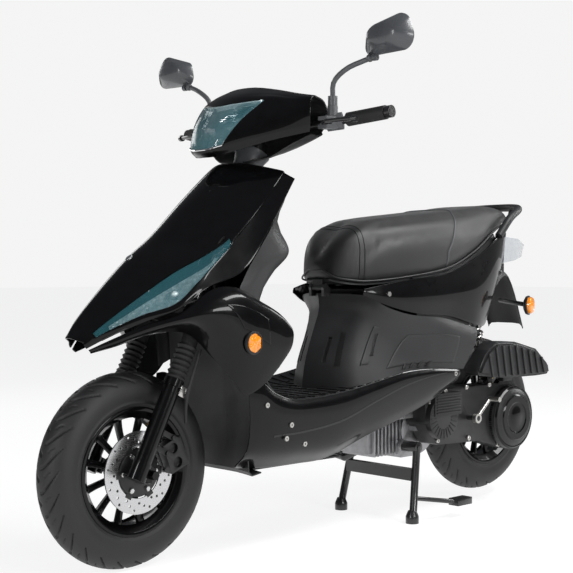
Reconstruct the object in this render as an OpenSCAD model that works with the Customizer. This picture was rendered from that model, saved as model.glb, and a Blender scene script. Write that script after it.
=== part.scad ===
// Moped scooter on its centre stand.
// X points forward, Y to the rider's left and Z up. The origin is on the ground, midway between the tyres' ends.

/* [Overall] */
// Distance between the front and rear axles
wheelbase = 1240; // [1220:5:1260]
// Outer radius of both tyres
tyre_r = 215; // [210:1:218]
// Half of the tyre's width
tyre_half_w = 47; // [42:1:48]
// Height that the centre stand lifts the rear tyre off the ground
rear_lift = 24; // [15:1:30]

/* [Steering and fork] */
// Angle of the steering axis from vertical, in degrees
rake = 27; // [25:0.5:28]
// Distance from the middle to each fork leg
leg_y = 90; // [84:1:94]
// Radius of the fork's inner tubes
stanchion_r = 13; // [12:0.5:14]
// Distance from the middle to the end of each handlebar grip
grip_end_y = 342; // [330:1:350]

/* [Wheels] */
// Number of spokes in each alloy wheel
spoke_count = 12; // [8:1:14]
// Outer radius of the front brake disc
disc_r = 90; // [80:1:95]
// Radius of the front axle
front_axle_r = 6; // [5:0.5:7]

/* [Bodywork] */
// Thickness of the moulded panels
panel_t = 3; // [2.5:0.1:3.5]
// Half of the footboard's width
floor_half_w = 168; // [160:1:169]

/* [Running gear] */
// Radius of the pin that the engine swings on
engine_pin_r = 8; // [6:0.5:9]
// Radius of the pin that the centre stand turns on
stand_pin_r = 7; // [6:0.5:8]
// Radial clearance of every turning fit
fit = 0.05; // [0.02:0.01:0.09]

/* [Hidden] */
front_axle = [wheelbase / 2, 0, tyre_r];
rear_axle = [-wheelbase / 2, 0, tyre_r + rear_lift];
// A point of the steering axis, level with the front axle and just behind it
steer_base = [front_axle.x - 13, 0, tyre_r];
// The fork legs stand this far in front of the steering axis
leg_x = 40;
engine_pin = [-150, 0, 300];
stand_pin = [-230, 0, 190];
seat_pin = [18, 0, 606];
shock_top = [-490, 78, 560];
shock_foot = [-560, 78, 352];
shock_axis = shock_top - shock_foot;
kick_pin = [-430, 141, 252];
// Colours
gloss_black = "#0b0b0d";
matte_black = "#2a2a2c";
rubber_black = "#1b1b1b";
metal = "#a9abad";
lens_blue = "#7fb3bd";
amber = "#f08a00";

// ---- Curves and surfaces ----
// Point at t along a smooth curve's middle stretch, from b to c
function blend4(a, b, c, d, t) =
    0.5 * (2 * b + (c - a) * t + (2 * a - 5 * b + 4 * c - d) * t * t + (3 * b - a - 3 * c + d) * t * t * t);
// Point at s, counted in points, along the smooth curve that passes through every point of a list
function curve_at(p, s) =
    let (last = len(p) - 1, i = min(floor(s), last - 1))
    let (before = i > 0 ? p[i - 1] : 2 * p[0] - p[1])
    let (after = i + 1 < last ? p[i + 2] : 2 * p[last] - p[last - 1])
    blend4(before, p[i], p[i + 1], after, s - i);
function curve(p, n) = [for (k = [0:n]) curve_at(p, k * (len(p) - 1) / n)];
// A net of rows of points, filled in to nu by nv smooth steps
function fine_net(net, nu, nv) =
    let (rows = [for (row = net) curve(row, nv)])
    let (columns = [for (j = [0:nv]) curve([for (row = rows) row[j]], nu)])
    [for (i = [0:nu]) [for (j = [0:nv]) columns[j][i]]];
function unit(v) = v / norm(v);
function other_side(p) = [p.x, -p.y, p.z];
// A row given from the middle to the left edge, completed from the right edge to the left edge
function both_sides(row) = concat([for (k = [len(row) - 1:-1:1]) other_side(row[k])], row);
function full_net(net) = [for (row = net) both_sides(row)];
function net_normal(g, i, j) =
    let (u1 = g[min(i + 1, len(g) - 1)][j], u0 = g[max(i - 1, 0)][j])
    let (v1 = g[i][min(j + 1, len(g[0]) - 1)], v0 = g[i][max(j - 1, 0)])
    unit(cross(u1 - u0, v1 - v0));
// The part of a fine net from row i0 to i1 and from column j0 to j1
function net_part(g, i0, i1, j0, j1) = [for (i = [i0:i1]) [for (j = [j0:j1]) g[i][j]]];
// A net drawn in towards the middle of its two diagonals' ends
function shrunk(g, share) =
    let (last = len(g) - 1, edge = len(g[0]) - 1)
    let (middle = (g[0][0] + g[0][edge] + g[last][0] + g[last][edge]) / 4)
    [for (row = g) [for (p = row) p + share * (middle - p)]];
function moved_net(g, d) = [for (i = [0:len(g) - 1]) [for (j = [0:len(g[0]) - 1]) g[i][j] + d * net_normal(g, i, j)]];

// Closed solid between two fine nets of the same size; "over" lies on the side that the normals point to
module between(over, under) {
    nu = len(over) - 1;
    nv = len(over[0]) - 1;
    w = nv + 1;
    m = (nu + 1) * w;
    points = concat([for (row = over) each row], [for (row = under) each row]);
    cells = [for (i = [0:nu - 1]) for (j = [0:nv - 1]) i * w + j];
    tops = [for (c = cells) each [[c, c + 1, c + w], [c + 1, c + w + 1, c + w]]];
    bottoms = [for (c = cells) each [[m + c, m + c + w, m + c + 1], [m + c + 1, m + c + w, m + c + w + 1]]];
    rim = concat([for (j = [0:nv - 1]) j + 1], [for (i = [0:nu - 1]) (i + 1) * w + nv],
        [for (j = [nv - 1:-1:0]) nu * w + j], [for (i = [nu - 1:-1:0]) i * w]);
    count = len(rim);
    sides = [for (k = [0:count - 1]) let (a = rim[k], b = rim[(k + 1) % count]) each [[a, m + a, b], [b, m + a, m + b]]];
    polyhedron(points, concat(tops, bottoms, sides));
}

// Sheet of thickness t behind a fine net; a negative t lies in front of it
module sheet(g, t) {
    if (t > 0) between(g, moved_net(g, -t));
    else between(moved_net(g, -t), g);
}

// Closed solid through a list of rings of points, with flat ends
module loft(rings) {
    n = len(rings[0]);
    last = len(rings) - 1;
    walls = [for (i = [0:last - 1]) for (j = [0:n - 1])
        let (a = i * n + j, b = i * n + (j + 1) % n) each [[a, a + n, b], [b, a + n, b + n]]];
    start = [[for (j = [0:n - 1]) j]];
    end = [[for (j = [n - 1:-1:0]) last * n + j]];
    polyhedron([for (ring = rings) each ring], concat(walls, start, end));
}

// Ring round a point, in the plane across a direction; "beside" is any vector that the direction never lines up with
function ring_at(p, direction, r, n, beside) =
    let (side = unit(cross(beside, direction)))
    let (up = cross(unit(direction), side))
    [for (k = [0:n - 1]) p + r * (cos(360 * k / n) * side + sin(360 * k / n) * up)];
// Round hose along a smooth curve through a few points
module hose(points, r, steps, sides, beside) {
    line = curve(points, steps);
    loft([for (k = [0:steps]) ring_at(line[k], line[min(k + 1, steps)] - line[max(k - 1, 0)], r, sides, beside)]);
}

// Straight round bar between two points
module rod(a, b, r) {
    d = b - a;
    length = norm(d);
    translate(a) rotate([0, acos(d.z / length), atan2(d.y, d.x)]) cylinder(h = length, r = r, $fn = 32);
}
// Bent round bar through a list of points
module bent_rod(points, r) {
    for (k = [0:len(points) - 2]) rod(points[k], points[k + 1], r);
    for (k = [1:len(points) - 2]) translate(points[k]) sphere(r = r + 0.25, $fn = 32);
}
// Cylinder along Y from y0 to y1
module cyl_y(r, y0, y1) {
    translate([0, y0, 0]) rotate([-90, 0, 0]) cylinder(h = y1 - y0, r = r, $fn = 64);
}
module left_and_right() {
    children();
    mirror([0, 1, 0]) children();
}
module box_between(low, high) {
    translate(low) cube(high - low);
}
// Places children so that Z runs up the steering axis
module on_steering() {
    translate(steer_base) rotate([0, -rake, 0]) children();
}

// ---- Body panels: each net's rows run from front to rear or from top to bottom ----
// Nose shield: rows from the nose to the neck, columns from the middle to the left edge
cover_net = [
    [[766, 0, 507], [762, 10, 506], [744, 24, 498], [742, 26, 493], [738, 28, 486]],
    [[737, 0, 548], [722, 24, 541], [713, 42, 530], [709, 50, 518], [703, 53, 508]],
    [[668, 0, 617], [655, 34, 608], [632, 73, 593], [645, 96, 554], [640, 100, 542]],
    [[598, 0, 680], [578, 48, 668], [557, 97, 645], [585, 136, 578], [578, 142, 569]],
    [[536, 0, 726], [512, 56, 712], [486, 122, 684], [534, 146, 622], [516, 156, 612]],
    [[440, 0, 812], [418, 62, 798], [433, 137, 720], [434, 141, 704], [414, 163, 652]],
    [[350, 0, 886], [335, 60, 872], [345, 135, 800], [343, 141, 792], [330, 170, 764]],
    [[313, 0, 898], [305, 55, 894], [268, 125, 878], [265, 133, 872], [252, 155, 858]]];
cover_steps = [21, 12];
// The turn lamp's opening, in the cover's own steps
lens_rows = [2, 15];
lens_columns = [6, 9];
fairing_net = [
    [[734, 30, 483], [733, 31, 481], [731, 31, 479], [729, 30, 477], [727, 28, 475]],
    [[700, 57, 503], [697, 62, 500], [693, 64, 496], [686, 60, 492], [677, 46, 488]],
    [[636, 104, 537], [633, 114, 531], [626, 116, 525], [620, 104, 518], [614, 82, 512]],
    [[574, 146, 563], [568, 162, 556], [560, 166, 546], [552, 150, 532], [540, 114, 514]],
    [[512, 160, 606], [506, 186, 586], [500, 196, 552], [495, 184, 506], [496, 150, 462]],
    [[455, 176, 614], [446, 198, 590], [442, 208, 545], [446, 204, 484], [462, 182, 410]],
    [[385, 182, 583], [378, 202, 566], [380, 210, 520], [390, 206, 450], [432, 188, 378]],
    [[336, 190, 556], [330, 203, 540], [330, 208, 500], [340, 206, 455], [380, 196, 402]],
    [[310, 198, 530], [305, 204, 518], [304, 206, 500], [312, 205, 474], [342, 200, 436]]];
shield_net = [
    [[205, 0, 884], [208, 50, 882], [222, 98, 874], [236, 124, 864], [246, 136, 852]],
    [[208, 0, 820], [212, 60, 820], [238, 106, 819], [262, 134, 814], [282, 146, 806]],
    [[224, 0, 760], [230, 66, 760], [262, 108, 759], [296, 141, 757], [324, 156, 748]],
    [[230, 0, 695], [234, 84, 695], [252, 136, 693], [300, 157, 690], [372, 156, 684]],
    [[276, 0, 645], [280, 80, 645], [300, 134, 645], [352, 156, 648], [402, 154, 640]],
    [[326, 0, 590], [330, 86, 590], [345, 140, 590], [390, 158, 590], [430, 162, 590]],
    [[340, 0, 500], [340, 88, 500], [348, 134, 500], [376, 156, 500], [410, 162, 500]],
    [[348, 0, 446], [348, 80, 446], [354, 128, 444], [370, 152, 436], [400, 162, 420]]];
floor_net = [
    [[352, 0, 440], [352, 60, 438], [352, 120, 430], [356, 168, 404]],
    [[342, 0, 395], [341, 60, 392], [340, 120, 386], [334, 168, 378]],
    [[310, 0, 362], [308, 60, 361], [306, 120, 359], [302, 168, 358]],
    [[230, 0, 351], [230, 60, 351], [230, 120, 350], [230, 168, 350]],
    [[110, 0, 351], [110, 60, 351], [110, 120, 351], [110, 168, 357]],
    [[0, 0, 356], [0, 60, 356], [0, 120, 359], [0, 167, 372]],
    [[-117, 0, 362], [-117, 60, 362], [-117, 120, 372], [-117, 164, 390]]];
skirt_net = [
    [[402, 167, 404], [404, 168, 370], [400, 167, 310], [404, 160, 250], [430, 148, 214]],
    [[368, 171, 402], [370, 176, 372], [368, 174, 312], [372, 160, 248], [392, 128, 207]],
    [[322, 172, 372], [322, 179, 350], [320, 178, 300], [318, 160, 243], [318, 120, 199]],
    [[250, 172, 354], [250, 180, 335], [245, 178, 288], [240, 158, 236], [230, 116, 197]],
    [[120, 172, 360], [118, 180, 340], [115, 178, 292], [112, 156, 236], [105, 114, 199]],
    [[0, 172, 376], [0, 178, 358], [0, 176, 318], [0, 165, 278], [0, 148, 246]],
    [[-120, 169, 394], [-120, 174, 378], [-120, 172, 343], [-120, 162, 304], [-120, 146, 274]],
    [[-240, 163, 396], [-240, 167, 385], [-240, 166, 360], [-240, 160, 335], [-240, 147, 311]],
    [[-352, 154, 388], [-352, 157, 383], [-352, 157, 376], [-352, 155, 370], [-352, 149, 360]]];
// Lower body under the seat: rows round from the front to the rear, columns from bottom to top
seat_body_net = [
    [[74, 0, 356], [64, 0, 420], [38, 0, 490], [14, 0, 550], [18, 0, 592]],
    [[34, 68, 357], [24, 62, 420], [-2, 58, 490], [-24, 58, 550], [-18, 72, 590]],
    [[-6, 108, 361], [-14, 98, 420], [-34, 92, 490], [-50, 98, 550], [-48, 122, 582]],
    [[-70, 134, 378], [-76, 121, 425], [-84, 115, 485], [-86, 124, 530], [-84, 138, 558]],
    [[-160, 148, 394], [-160, 140, 430], [-165, 138, 475], [-168, 142, 512], [-168, 147, 536]],
    [[-280, 150, 394], [-290, 152, 430], [-298, 153, 470], [-298, 152, 500], [-290, 146, 524]],
    [[-372, 149, 388], [-396, 150, 420], [-420, 150, 450], [-434, 146, 476], [-440, 139, 492]]];
tail_net = [
    [[-12, 121, 590], [-14, 123, 596], [-16, 122, 602]],
    [[-80, 142, 562], [-80, 146, 584], [-80, 140, 614]],
    [[-180, 151, 540], [-180, 157, 580], [-180, 151, 628]],
    [[-310, 149, 530], [-310, 156, 585], [-310, 150, 642]],
    [[-430, 142, 503], [-436, 149, 600], [-446, 142, 688]],
    [[-508, 112, 498], [-525, 130, 610], [-540, 132, 738]],
    [[-566, 84, 534], [-592, 100, 640], [-608, 106, 758]],
    [[-622, 58, 606], [-652, 68, 680], [-664, 70, 752]]];
// Front cover of the handlebar: rows from the chin to the top, columns from the middle to the left end
headset_net = [
    [[392, 0, 908], [385, 28, 909], [372, 55, 915], [300, 125, 945], [232, 184, 966]],
    [[410, 0, 924], [402, 28, 926], [386, 56, 934], [310, 125, 962], [234, 188, 985]],
    [[396, 0, 975], [388, 36, 980], [354, 82, 990], [302, 130, 998], [236, 190, 1008]],
    [[350, 0, 1030], [338, 50, 1034], [302, 108, 1040], [270, 145, 1036], [234, 189, 1032]],
    [[322, 0, 1056], [312, 52, 1056], [280, 104, 1055], [254, 145, 1048], [230, 188, 1044]],
    [[278, 0, 1077], [272, 50, 1075], [252, 102, 1066], [238, 145, 1056], [222, 186, 1049]]];
headset_steps = [15, 12];
lamp_rows = [3, 9];
lamp_columns = [0, 6];
rear_headset_net = [
    [[274, 0, 1076], [268, 50, 1074], [248, 102, 1065], [234, 145, 1055], [216, 184, 1048]],
    [[212, 0, 1058], [208, 50, 1056], [200, 102, 1050], [192, 145, 1044], [186, 184, 1036]],
    [[166, 0, 1004], [166, 50, 1003], [166, 102, 1000], [166, 145, 998], [168, 180, 1000]],
    [[196, 0, 934], [196, 50, 936], [196, 102, 942], [196, 145, 950], [194, 182, 962]],
    [[290, 0, 904], [284, 50, 906], [270, 90, 912], [254, 135, 936], [226, 182, 962]]];

cover = fine_net(full_net(cover_net), cover_steps[0], 2 * cover_steps[1]);
headset = fine_net(full_net(headset_net), headset_steps[0], 2 * headset_steps[1]);
// The same opening on the left side of a full net: its middle column is number "half"
function left_part(g, rows, columns, half) = net_part(g, rows[0], rows[1], half + columns[0], half + columns[1]);

module front_cover() {
    opening = left_part(cover, lens_rows, lens_columns, cover_steps[1]);
    color(gloss_black) difference() {
        sheet(cover, panel_t);
        left_and_right() between(moved_net(opening, 5), moved_net(opening, -5));
    }
}
// Clear covers of the turn lamps, set in the nose shield's openings with a small gap round them
module turn_lenses() {
    inner = [for (i = [lens_rows[0]:lens_rows[1]]) [for (j = [lens_columns[0]:lens_columns[1]])
        let (row = cover[i], a = row[cover_steps[1] + lens_columns[0]], b = row[cover_steps[1] + lens_columns[1]])
        let (here = row[cover_steps[1] + j])
        here + 0.04 * ((a + b) / 2 - here)]];
    color(lens_blue) left_and_right() sheet(inner, 2.2);
}
module turn_reflectors() {
    bowl = left_part(cover, lens_rows, [lens_columns[0], lens_columns[1]], cover_steps[1]);
    color("silver") left_and_right() sheet(moved_net(bowl, 12), -1.5);
}
module side_fairings() {
    color(gloss_black) left_and_right() sheet(fine_net(fairing_net, 24, 10), -panel_t);
}
module side_reflectors() {
    color(amber) left_and_right() translate([428, 205, 493]) rotate([-90, 0, 4]) {
        cylinder(h = 8, r = 26, $fn = 48);
        cylinder(h = 11, r = 22, $fn = 48);
    }
}
module leg_shield() {
    key_hole = [218, -52, 800];
    color(matte_black) difference() {
        sheet(fine_net(full_net(shield_net), 18, 20), -panel_t);
        translate(key_hole) rotate([0, 90, 0]) translate([0, 0, -60]) cylinder(h = 90, r = 15, $fn = 32);
    }
}
module ignition_lock() {
    color(metal) translate([218, -52, 800]) rotate([0, 90, 0]) {
        difference() {
            translate([0, 0, -16]) cylinder(h = 40, r = 13, $fn = 48);
            translate([-5, -0.75, -17]) cube([10, 1.5, 14]);
        }
    }
}
module floorboard() {
    rib_x = [for (k = [0:5]) 160 + 26 * k];
    color(matte_black) {
        sheet(fine_net(full_net(floor_net), 16, 12), 4);
        for (x = rib_x) translate([x, -60, 350]) cube([8, 120, 5]);
        left_and_right() for (x = rib_x) translate([x, 76, 349]) cube([8, 74, 5]);
    }
}
module side_skirts() {
    color(gloss_black) left_and_right() sheet(fine_net(skirt_net, 22, 8), -panel_t);
}
// Inner front mudguard, which is also the front of the belly
module arch_panel() {
    arch_half_w = 144;
    line = [[330, 196], [366, 200], [362, 300], [360, 440], [372, 520], [420, 566], [500, 590], [600, 560],
        [700, 505]];
    path = curve(line, 24);
    net = [for (p = path) let (w = p[0] > 560 ? arch_half_w - (p[0] - 560) * 0.66 : arch_half_w)
        [[p[0] + 16, -w, p[1]], [p[0], -w / 2, p[1]], [p[0], 0, p[1]], [p[0], w / 2, p[1]], [p[0] + 16, w, p[1]]]];
    color(matte_black) difference() {
        union() {
            sheet(fine_net(net, 24, 8), panel_t);
            box_between([60, -112, 195.5], [342, 112, 199.5]);
        }
        on_steering() cylinder(h = 460, r = 44, $fn = 48);
        // Pockets for the yoke's ends at full lock
        on_steering() left_and_right() hull() for (turn = [-40, -20])
            rotate(turn) translate([leg_x, leg_y, 334]) cylinder(h = 34, r = 28, $fn = 48);
    }
}
module seat_body() {
    half_net = fine_net(seat_body_net, 18, 10);
    strip = concat([for (i = [len(half_net) - 1:-1:1]) [for (p = half_net[i]) other_side(p)]], half_net);
    color(matte_black) difference() {
        sheet(strip, -panel_t);
        // Cooling slots in the front
        left_and_right() translate([-10, 36, 420]) cube([100, 9, 62]);
    }
}
module tail_sides() {
    color(gloss_black) left_and_right() sheet(fine_net(tail_net, 20, 8), -panel_t);
}

// ---- Frame and what it carries ----
module main_frame() {
    rail_y = 92;
    tube_r = 12;
    color("#202022") difference() {
        union() {
            on_steering() translate([0, 0, 436]) cylinder(h = 130, r = 24, $fn = 64);
            bent_rod([[372, 0, 660], [318, 0, 560], [308, 0, 300]], 17);
            rod([308, -rail_y, 300], [308, rail_y, 300], 14);
            left_and_right() bent_rod([[308, rail_y, 300], [-80, rail_y, 300], [-250, rail_y, 470],
                [-600, rail_y, 640]], tube_r);
            rod([-600, -rail_y, 640], [-600, rail_y, 640], tube_r);
            left_and_right() translate([-600, rail_y, 640]) sphere(r = tube_r + 0.5, $fn = 32);
            rod([-64, -rail_y, 300], [-64, rail_y, 300], tube_r - 1.5);
            // Post and bracket for the seat's hinge
            rod([-64, 0, 300], [-66, 0, 590], 10);
            box_between([-76, -26, 584], [8, 26, 590]);
            left_and_right() box_between([2, 18, 584], [26, 26, 606]);
            left_and_right() translate([seat_pin.x, 18, seat_pin.z]) cyl_y(10, 0, 8);
            // Ears for the engine's pin
            left_and_right() box_between([-168, rail_y - 4, 284], [-132, rail_y + 4, 372]);
            // Upper eye of the shock absorber
            box_between([shock_top.x - 12, 60, 575], [shock_top.x + 12, 104, 595]);
            box_between([shock_top.x - 12, 60, 548], [shock_top.x + 12, 64, 595]);
            box_between([shock_top.x - 12, 92, 548], [shock_top.x + 12, 96, 595]);
        }
        on_steering() translate([0, 0, 400]) cylinder(h = 200, r = 17 + fit, $fn = 64);
    }
    color(metal) {
        translate([seat_pin.x, -26, seat_pin.z]) cyl_y(4, 0, 52);
        translate([engine_pin.x, -104, engine_pin.z]) cyl_y(engine_pin_r, 0, 208);
        translate([shock_top.x, 58, shock_top.z]) cyl_y(5, 0, 40);
    }
}
module storage_bucket() {
    color(matte_black) difference() {
        box_between([-330, -78, 470], [-92, 78, 600]);
        box_between([-326, -74, 474], [-96, 74, 601]);
    }
}
module fuel_tank() {
    color("#303033") {
        box_between([-462, -72, 520], [-340, 72, 620]);
        translate([-400, 0, 620]) cylinder(h = 10, r = 26, $fn = 48);
    }
}
module grab_rail() {
    color(matte_black) {
        loop = [[-552, 132, 742], [-600, 134, 792], [-668, 112, 818], [-714, 62, 826], [-730, 0, 828]];
        hose(concat(loop, [for (k = [3:-1:0]) other_side(loop[k])]), 11, 40, 16, [0, 0, 1]);
        left_and_right() hose([[-640, 62, 742], [-690, 60, 780], [-714, 58, 824]], 8, 6, 12, [0, 1, 0]);
    }
}
module tail_lamp() {
    color("#e6e9ec") loft([
        [[-812, -16, 692], [-812, 16, 692], [-814, 18, 712], [-814, -18, 712]],
        [[-790, -36, 686], [-790, 36, 686], [-800, 38, 722], [-800, -38, 722]],
        [[-730, -56, 676], [-730, 56, 676], [-740, 60, 738], [-740, -60, 738]],
        [[-668, -62, 668], [-668, 62, 668], [-668, 68, 742], [-668, -68, 742]]]);
}
module rear_mudguard() {
    half_w = 62;
    line = [[-560, 560], [-620, 596], [-668, 640], [-700, 640], [-724, 590], [-764, 492]];
    net = [for (p = line) let (w = p[0] < -700 ? half_w : half_w - 6)
        [[p[0], -w, p[1] - 14], [p[0], -w + 12, p[1]], [p[0], 0, p[1] + 2], [p[0], w - 12, p[1]], [p[0], w, p[1] - 14]]];
    color(matte_black) {
        sheet(fine_net(net, 14, 8), -panel_t);
        box_between([-700, -40, 636], [-664, 40, 667]);
    }
}
module rear_signals() {
    color(matte_black) left_and_right() rod([-690, 34, 560], [-640, 156, 553], 7);
    color(amber) left_and_right() translate([-640, 156, 550]) rotate([-90, 0, 20]) {
        cylinder(h = 12, r = 27, $fn = 48);
        cylinder(h = 24, r = 23, $fn = 48);
    }
}
screw_places = [[287, 179, 300], [230, 164, 250], [360, 177, 350], [-330, 157, 378], [-80, 147, 590], [300, 176, 270]];
module body_screws() {
    color(metal) left_and_right() for (p = screw_places) translate(p) rotate([-90, 0, 0]) difference() {
        cylinder(h = 4, r = 6, $fn = 32);
        translate([0, 0, 2]) cylinder(h = 3, r = 2.5, $fn = 6);
    }
}

// ---- Steering ----
module steering_stem() {
    color("#1d1d1f") {
        on_steering() {
            translate([0, 0, 338]) cylinder(h = 512, r = 17, $fn = 64);
            translate([0, 0, 338]) cylinder(h = 30, r = 26, $fn = 64);
            // Lower yoke
            left_and_right() hull() {
                translate([0, 0, 338]) cylinder(h = 26, r = 27, $fn = 64);
                translate([leg_x, leg_y, 338]) cylinder(h = 26, r = 24, $fn = 64);
            }
            translate([0, 0, 780]) cylinder(h = 46, r = 30, $fn = 64);
        }
    }
    color("silver") on_steering() left_and_right() translate([leg_x, leg_y, 120]) cylinder(h = 219, r = stanchion_r, $fn = 64);
}
bar_line = [[216, 120, 978], [186, 196, 988], [166, 232, 994], [148, grip_end_y + 4, 1004]];
bar_out = bar_line[3] - bar_line[2];
grip_start = bar_line[2] + 0.08 * bar_out;
grip_end = bar_line[2] + 0.965 * bar_out;
module handlebar() {
    color("#3a3a3c") {
        left_and_right() bent_rod([[222, -1, 968], each bar_line], 9);
        translate([222, 0, 968]) sphere(r = 9.5, $fn = 32);
        on_steering() translate([0, 0, 826]) cylinder(h = 24, r = 21, $fn = 48);
        left_and_right() rod([148, grip_end_y + 2, 1004], [146.6, grip_end_y + 16, 1004.8], 14);
    }
}
module grip(inner_r) {
    color(rubber_black) difference() {
        rod(grip_start, grip_end, 16);
        rod(grip_start + 2 * (grip_start - grip_end) / 100, grip_end + 2 * (grip_end - grip_start) / 100, inner_r);
    }
}
module left_grip() {
    grip(9);
}
module throttle_grip() {
    mirror([0, 1, 0]) grip(9 + fit);
}
perch_a = [190, 198, 988];
perch_b = [169, 228, 992.5];
module lever_perches() {
    color("#77797c") left_and_right() difference() {
        union() {
            rod(perch_a, perch_b, 20);
            box_between([186, 200, 972], [222, 228, 1000]);
            translate([186, 212, 996]) cylinder(h = 30, r = 12, $fn = 48);
        }
        rod(perch_a + 2 * (perch_a - perch_b) / 10, perch_b + 2 * (perch_b - perch_a) / 10, 9);
        // Slot and pin hole of the lever
        box_between([206, 196, 981], [230, 232, 991]);
        translate([214, 214, 960]) cylinder(h = 60, r = 3, $fn = 32);
        translate([186, 212, 1010]) cylinder(h = 20, r = 6 + fit, $fn = 48);
    }
    color(metal) left_and_right() translate([214, 214, 971]) cylinder(h = 30, r = 3, $fn = 32);
}
module lever() {
    color("#4a4a4c") difference() {
        union() {
            translate([214, 214, 982]) cylinder(h = 8, r = 8, $fn = 32);
            translate([214, 214, 982]) rotate(55) translate([0, -6, 0]) cube([28, 12, 8]);
            hose([[230, 234, 986], [226, 262, 987], [213.3, 302, 988]], 5, 6, 10, [0, 0, 1]);
            translate([212, 304, 988]) rotate([90, 0, 20]) cylinder(h = 12, r = 8, center = true, $fn = 32);
        }
        translate([214, 214, 970]) cylinder(h = 40, r = 3 + fit, $fn = 32);
    }
}
module left_lever() {
    lever();
}
module right_lever() {
    mirror([0, 1, 0]) lever();
}
mirror_joint = [176, 318, 1124];
tilt_pin_r = 3.5;
module mirror_arm() {
    color("#55575a") {
        translate([186, 212, 1010]) cylinder(h = 20, r = 6, $fn = 48);
        translate([186, 212, 1026.4]) cylinder(h = 22, r = 11, $fn = 48);
        hose([[186, 212, 1044], [192, 222, 1080], [190, 262, 1106], mirror_joint - [0, 8, 2]], 6, 10, 12, [1, 0, 0]);
        translate(mirror_joint) sphere(r = 9, $fn = 32);
        translate(mirror_joint) cyl_y(tilt_pin_r, 0, 20);
    }
}
mirror_centre = [172, 372, 1168];
module mirror_head() {
    color("#5b5d60") difference() {
        union() {
            hull() {
                translate(mirror_centre + [26, 0, 0]) scale([0.16, 0.72, 0.42]) sphere(r = 62, $fn = 32);
                translate(mirror_centre) rotate([0, 90, 0]) linear_extrude(4) mirror_outline(0);
            }
            translate(mirror_joint) cyl_y(8, 10.6, 21);
        }
        translate(mirror_joint) cyl_y(tilt_pin_r + fit, 0, 21.5);
        translate(mirror_centre + [-0.6, 0, 0]) rotate([0, 90, 0]) linear_extrude(4) mirror_outline(4);
        translate(mirror_joint) sphere(r = 9.4, $fn = 32);
        translate(mirror_joint) rotate([90, 0, 0]) translate([0, -12, 0]) cylinder(h = 50, r = 12, $fn = 32);
    }
}
// Outline of the mirror: its first coordinate points down and its second outwards
module mirror_outline(inset) {
    offset(-inset) hull() {
        translate([8, 42]) circle(30, $fn = 32);
        translate([-14, 34]) circle(30, $fn = 32);
        translate([18, -46]) circle(22, $fn = 32);
        translate([-2, -44]) circle(20, $fn = 32);
    }
}
module mirror_glass() {
    color("#c9d3da") translate(mirror_centre + [0.4, 0, 0]) rotate([0, 90, 0]) linear_extrude(2) mirror_outline(4.4);
}
module left_mirror_arm() {
    mirror_arm();
}
module left_mirror_head() {
    mirror_head();
}
module left_mirror_glass() {
    mirror_glass();
}
module right_mirror_arm() {
    mirror([0, 1, 0]) mirror_arm();
}
module right_mirror_head() {
    mirror([0, 1, 0]) mirror_head();
}
module right_mirror_glass() {
    mirror([0, 1, 0]) mirror_glass();
}
module headset_front() {
    opening = net_part(headset, lamp_rows[0], lamp_rows[1], headset_steps[1] - lamp_columns[1], headset_steps[1] + lamp_columns[1]);
    color(gloss_black) difference() {
        sheet(headset, -panel_t);
        between(moved_net(shrunk(opening, 0.004), 5), moved_net(shrunk(opening, 0.004), -5));
    }
}
module headlight_lens() {
    opening = net_part(headset, lamp_rows[0], lamp_rows[1], headset_steps[1] - lamp_columns[1], headset_steps[1] + lamp_columns[1]);
    color(lens_blue) sheet(shrunk(opening, 0.012), -2.5);
}
module headlight_bowl() {
    opening = net_part(headset, lamp_rows[0], lamp_rows[1], headset_steps[1] - lamp_columns[1], headset_steps[1] + lamp_columns[1]);
    color("silver") difference() {
        sheet(moved_net(opening, 24), -1.5);
        translate([330, 0, 960]) rotate([0, 60, 0]) cylinder(h = 60, r = 12, $fn = 48);
    }
    color("silver") translate([345, 0, 967]) rotate([0, 75, 0]) cylinder(h = 24, r = 11, $fn = 48);
}
module headset_rear() {
    g = fine_net(full_net(rear_headset_net), 16, 20);
    color(matte_black) difference() {
        sheet(g, panel_t);
        on_steering() translate([0, 0, 720]) cylinder(h = 100, r = 32, $fn = 48);
        left_and_right() translate([100, 60, 985]) cube([80, 40, 30]);
        left_and_right() rod([216, 120, 978], [176, 222, 991], 22);
    }
}
// Rocking and pushing controls beside the grips
module switch_body(size) {
    box_between([-size.x / 2, -size.y / 2, -size.z / 2], [size.x / 2, size.y / 2, size.z / 2]);
}
module horn_button() {
    color("#444448") translate([158, 78, 992]) switch_body([14, 12, 12]);
}
module turn_switch() {
    color("#444448") translate([158, 78, 1008]) switch_body([14, 18, 8]);
}
module start_button() {
    color("#b02418") translate([158, -78, 992]) switch_body([14, 12, 12]);
}

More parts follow.
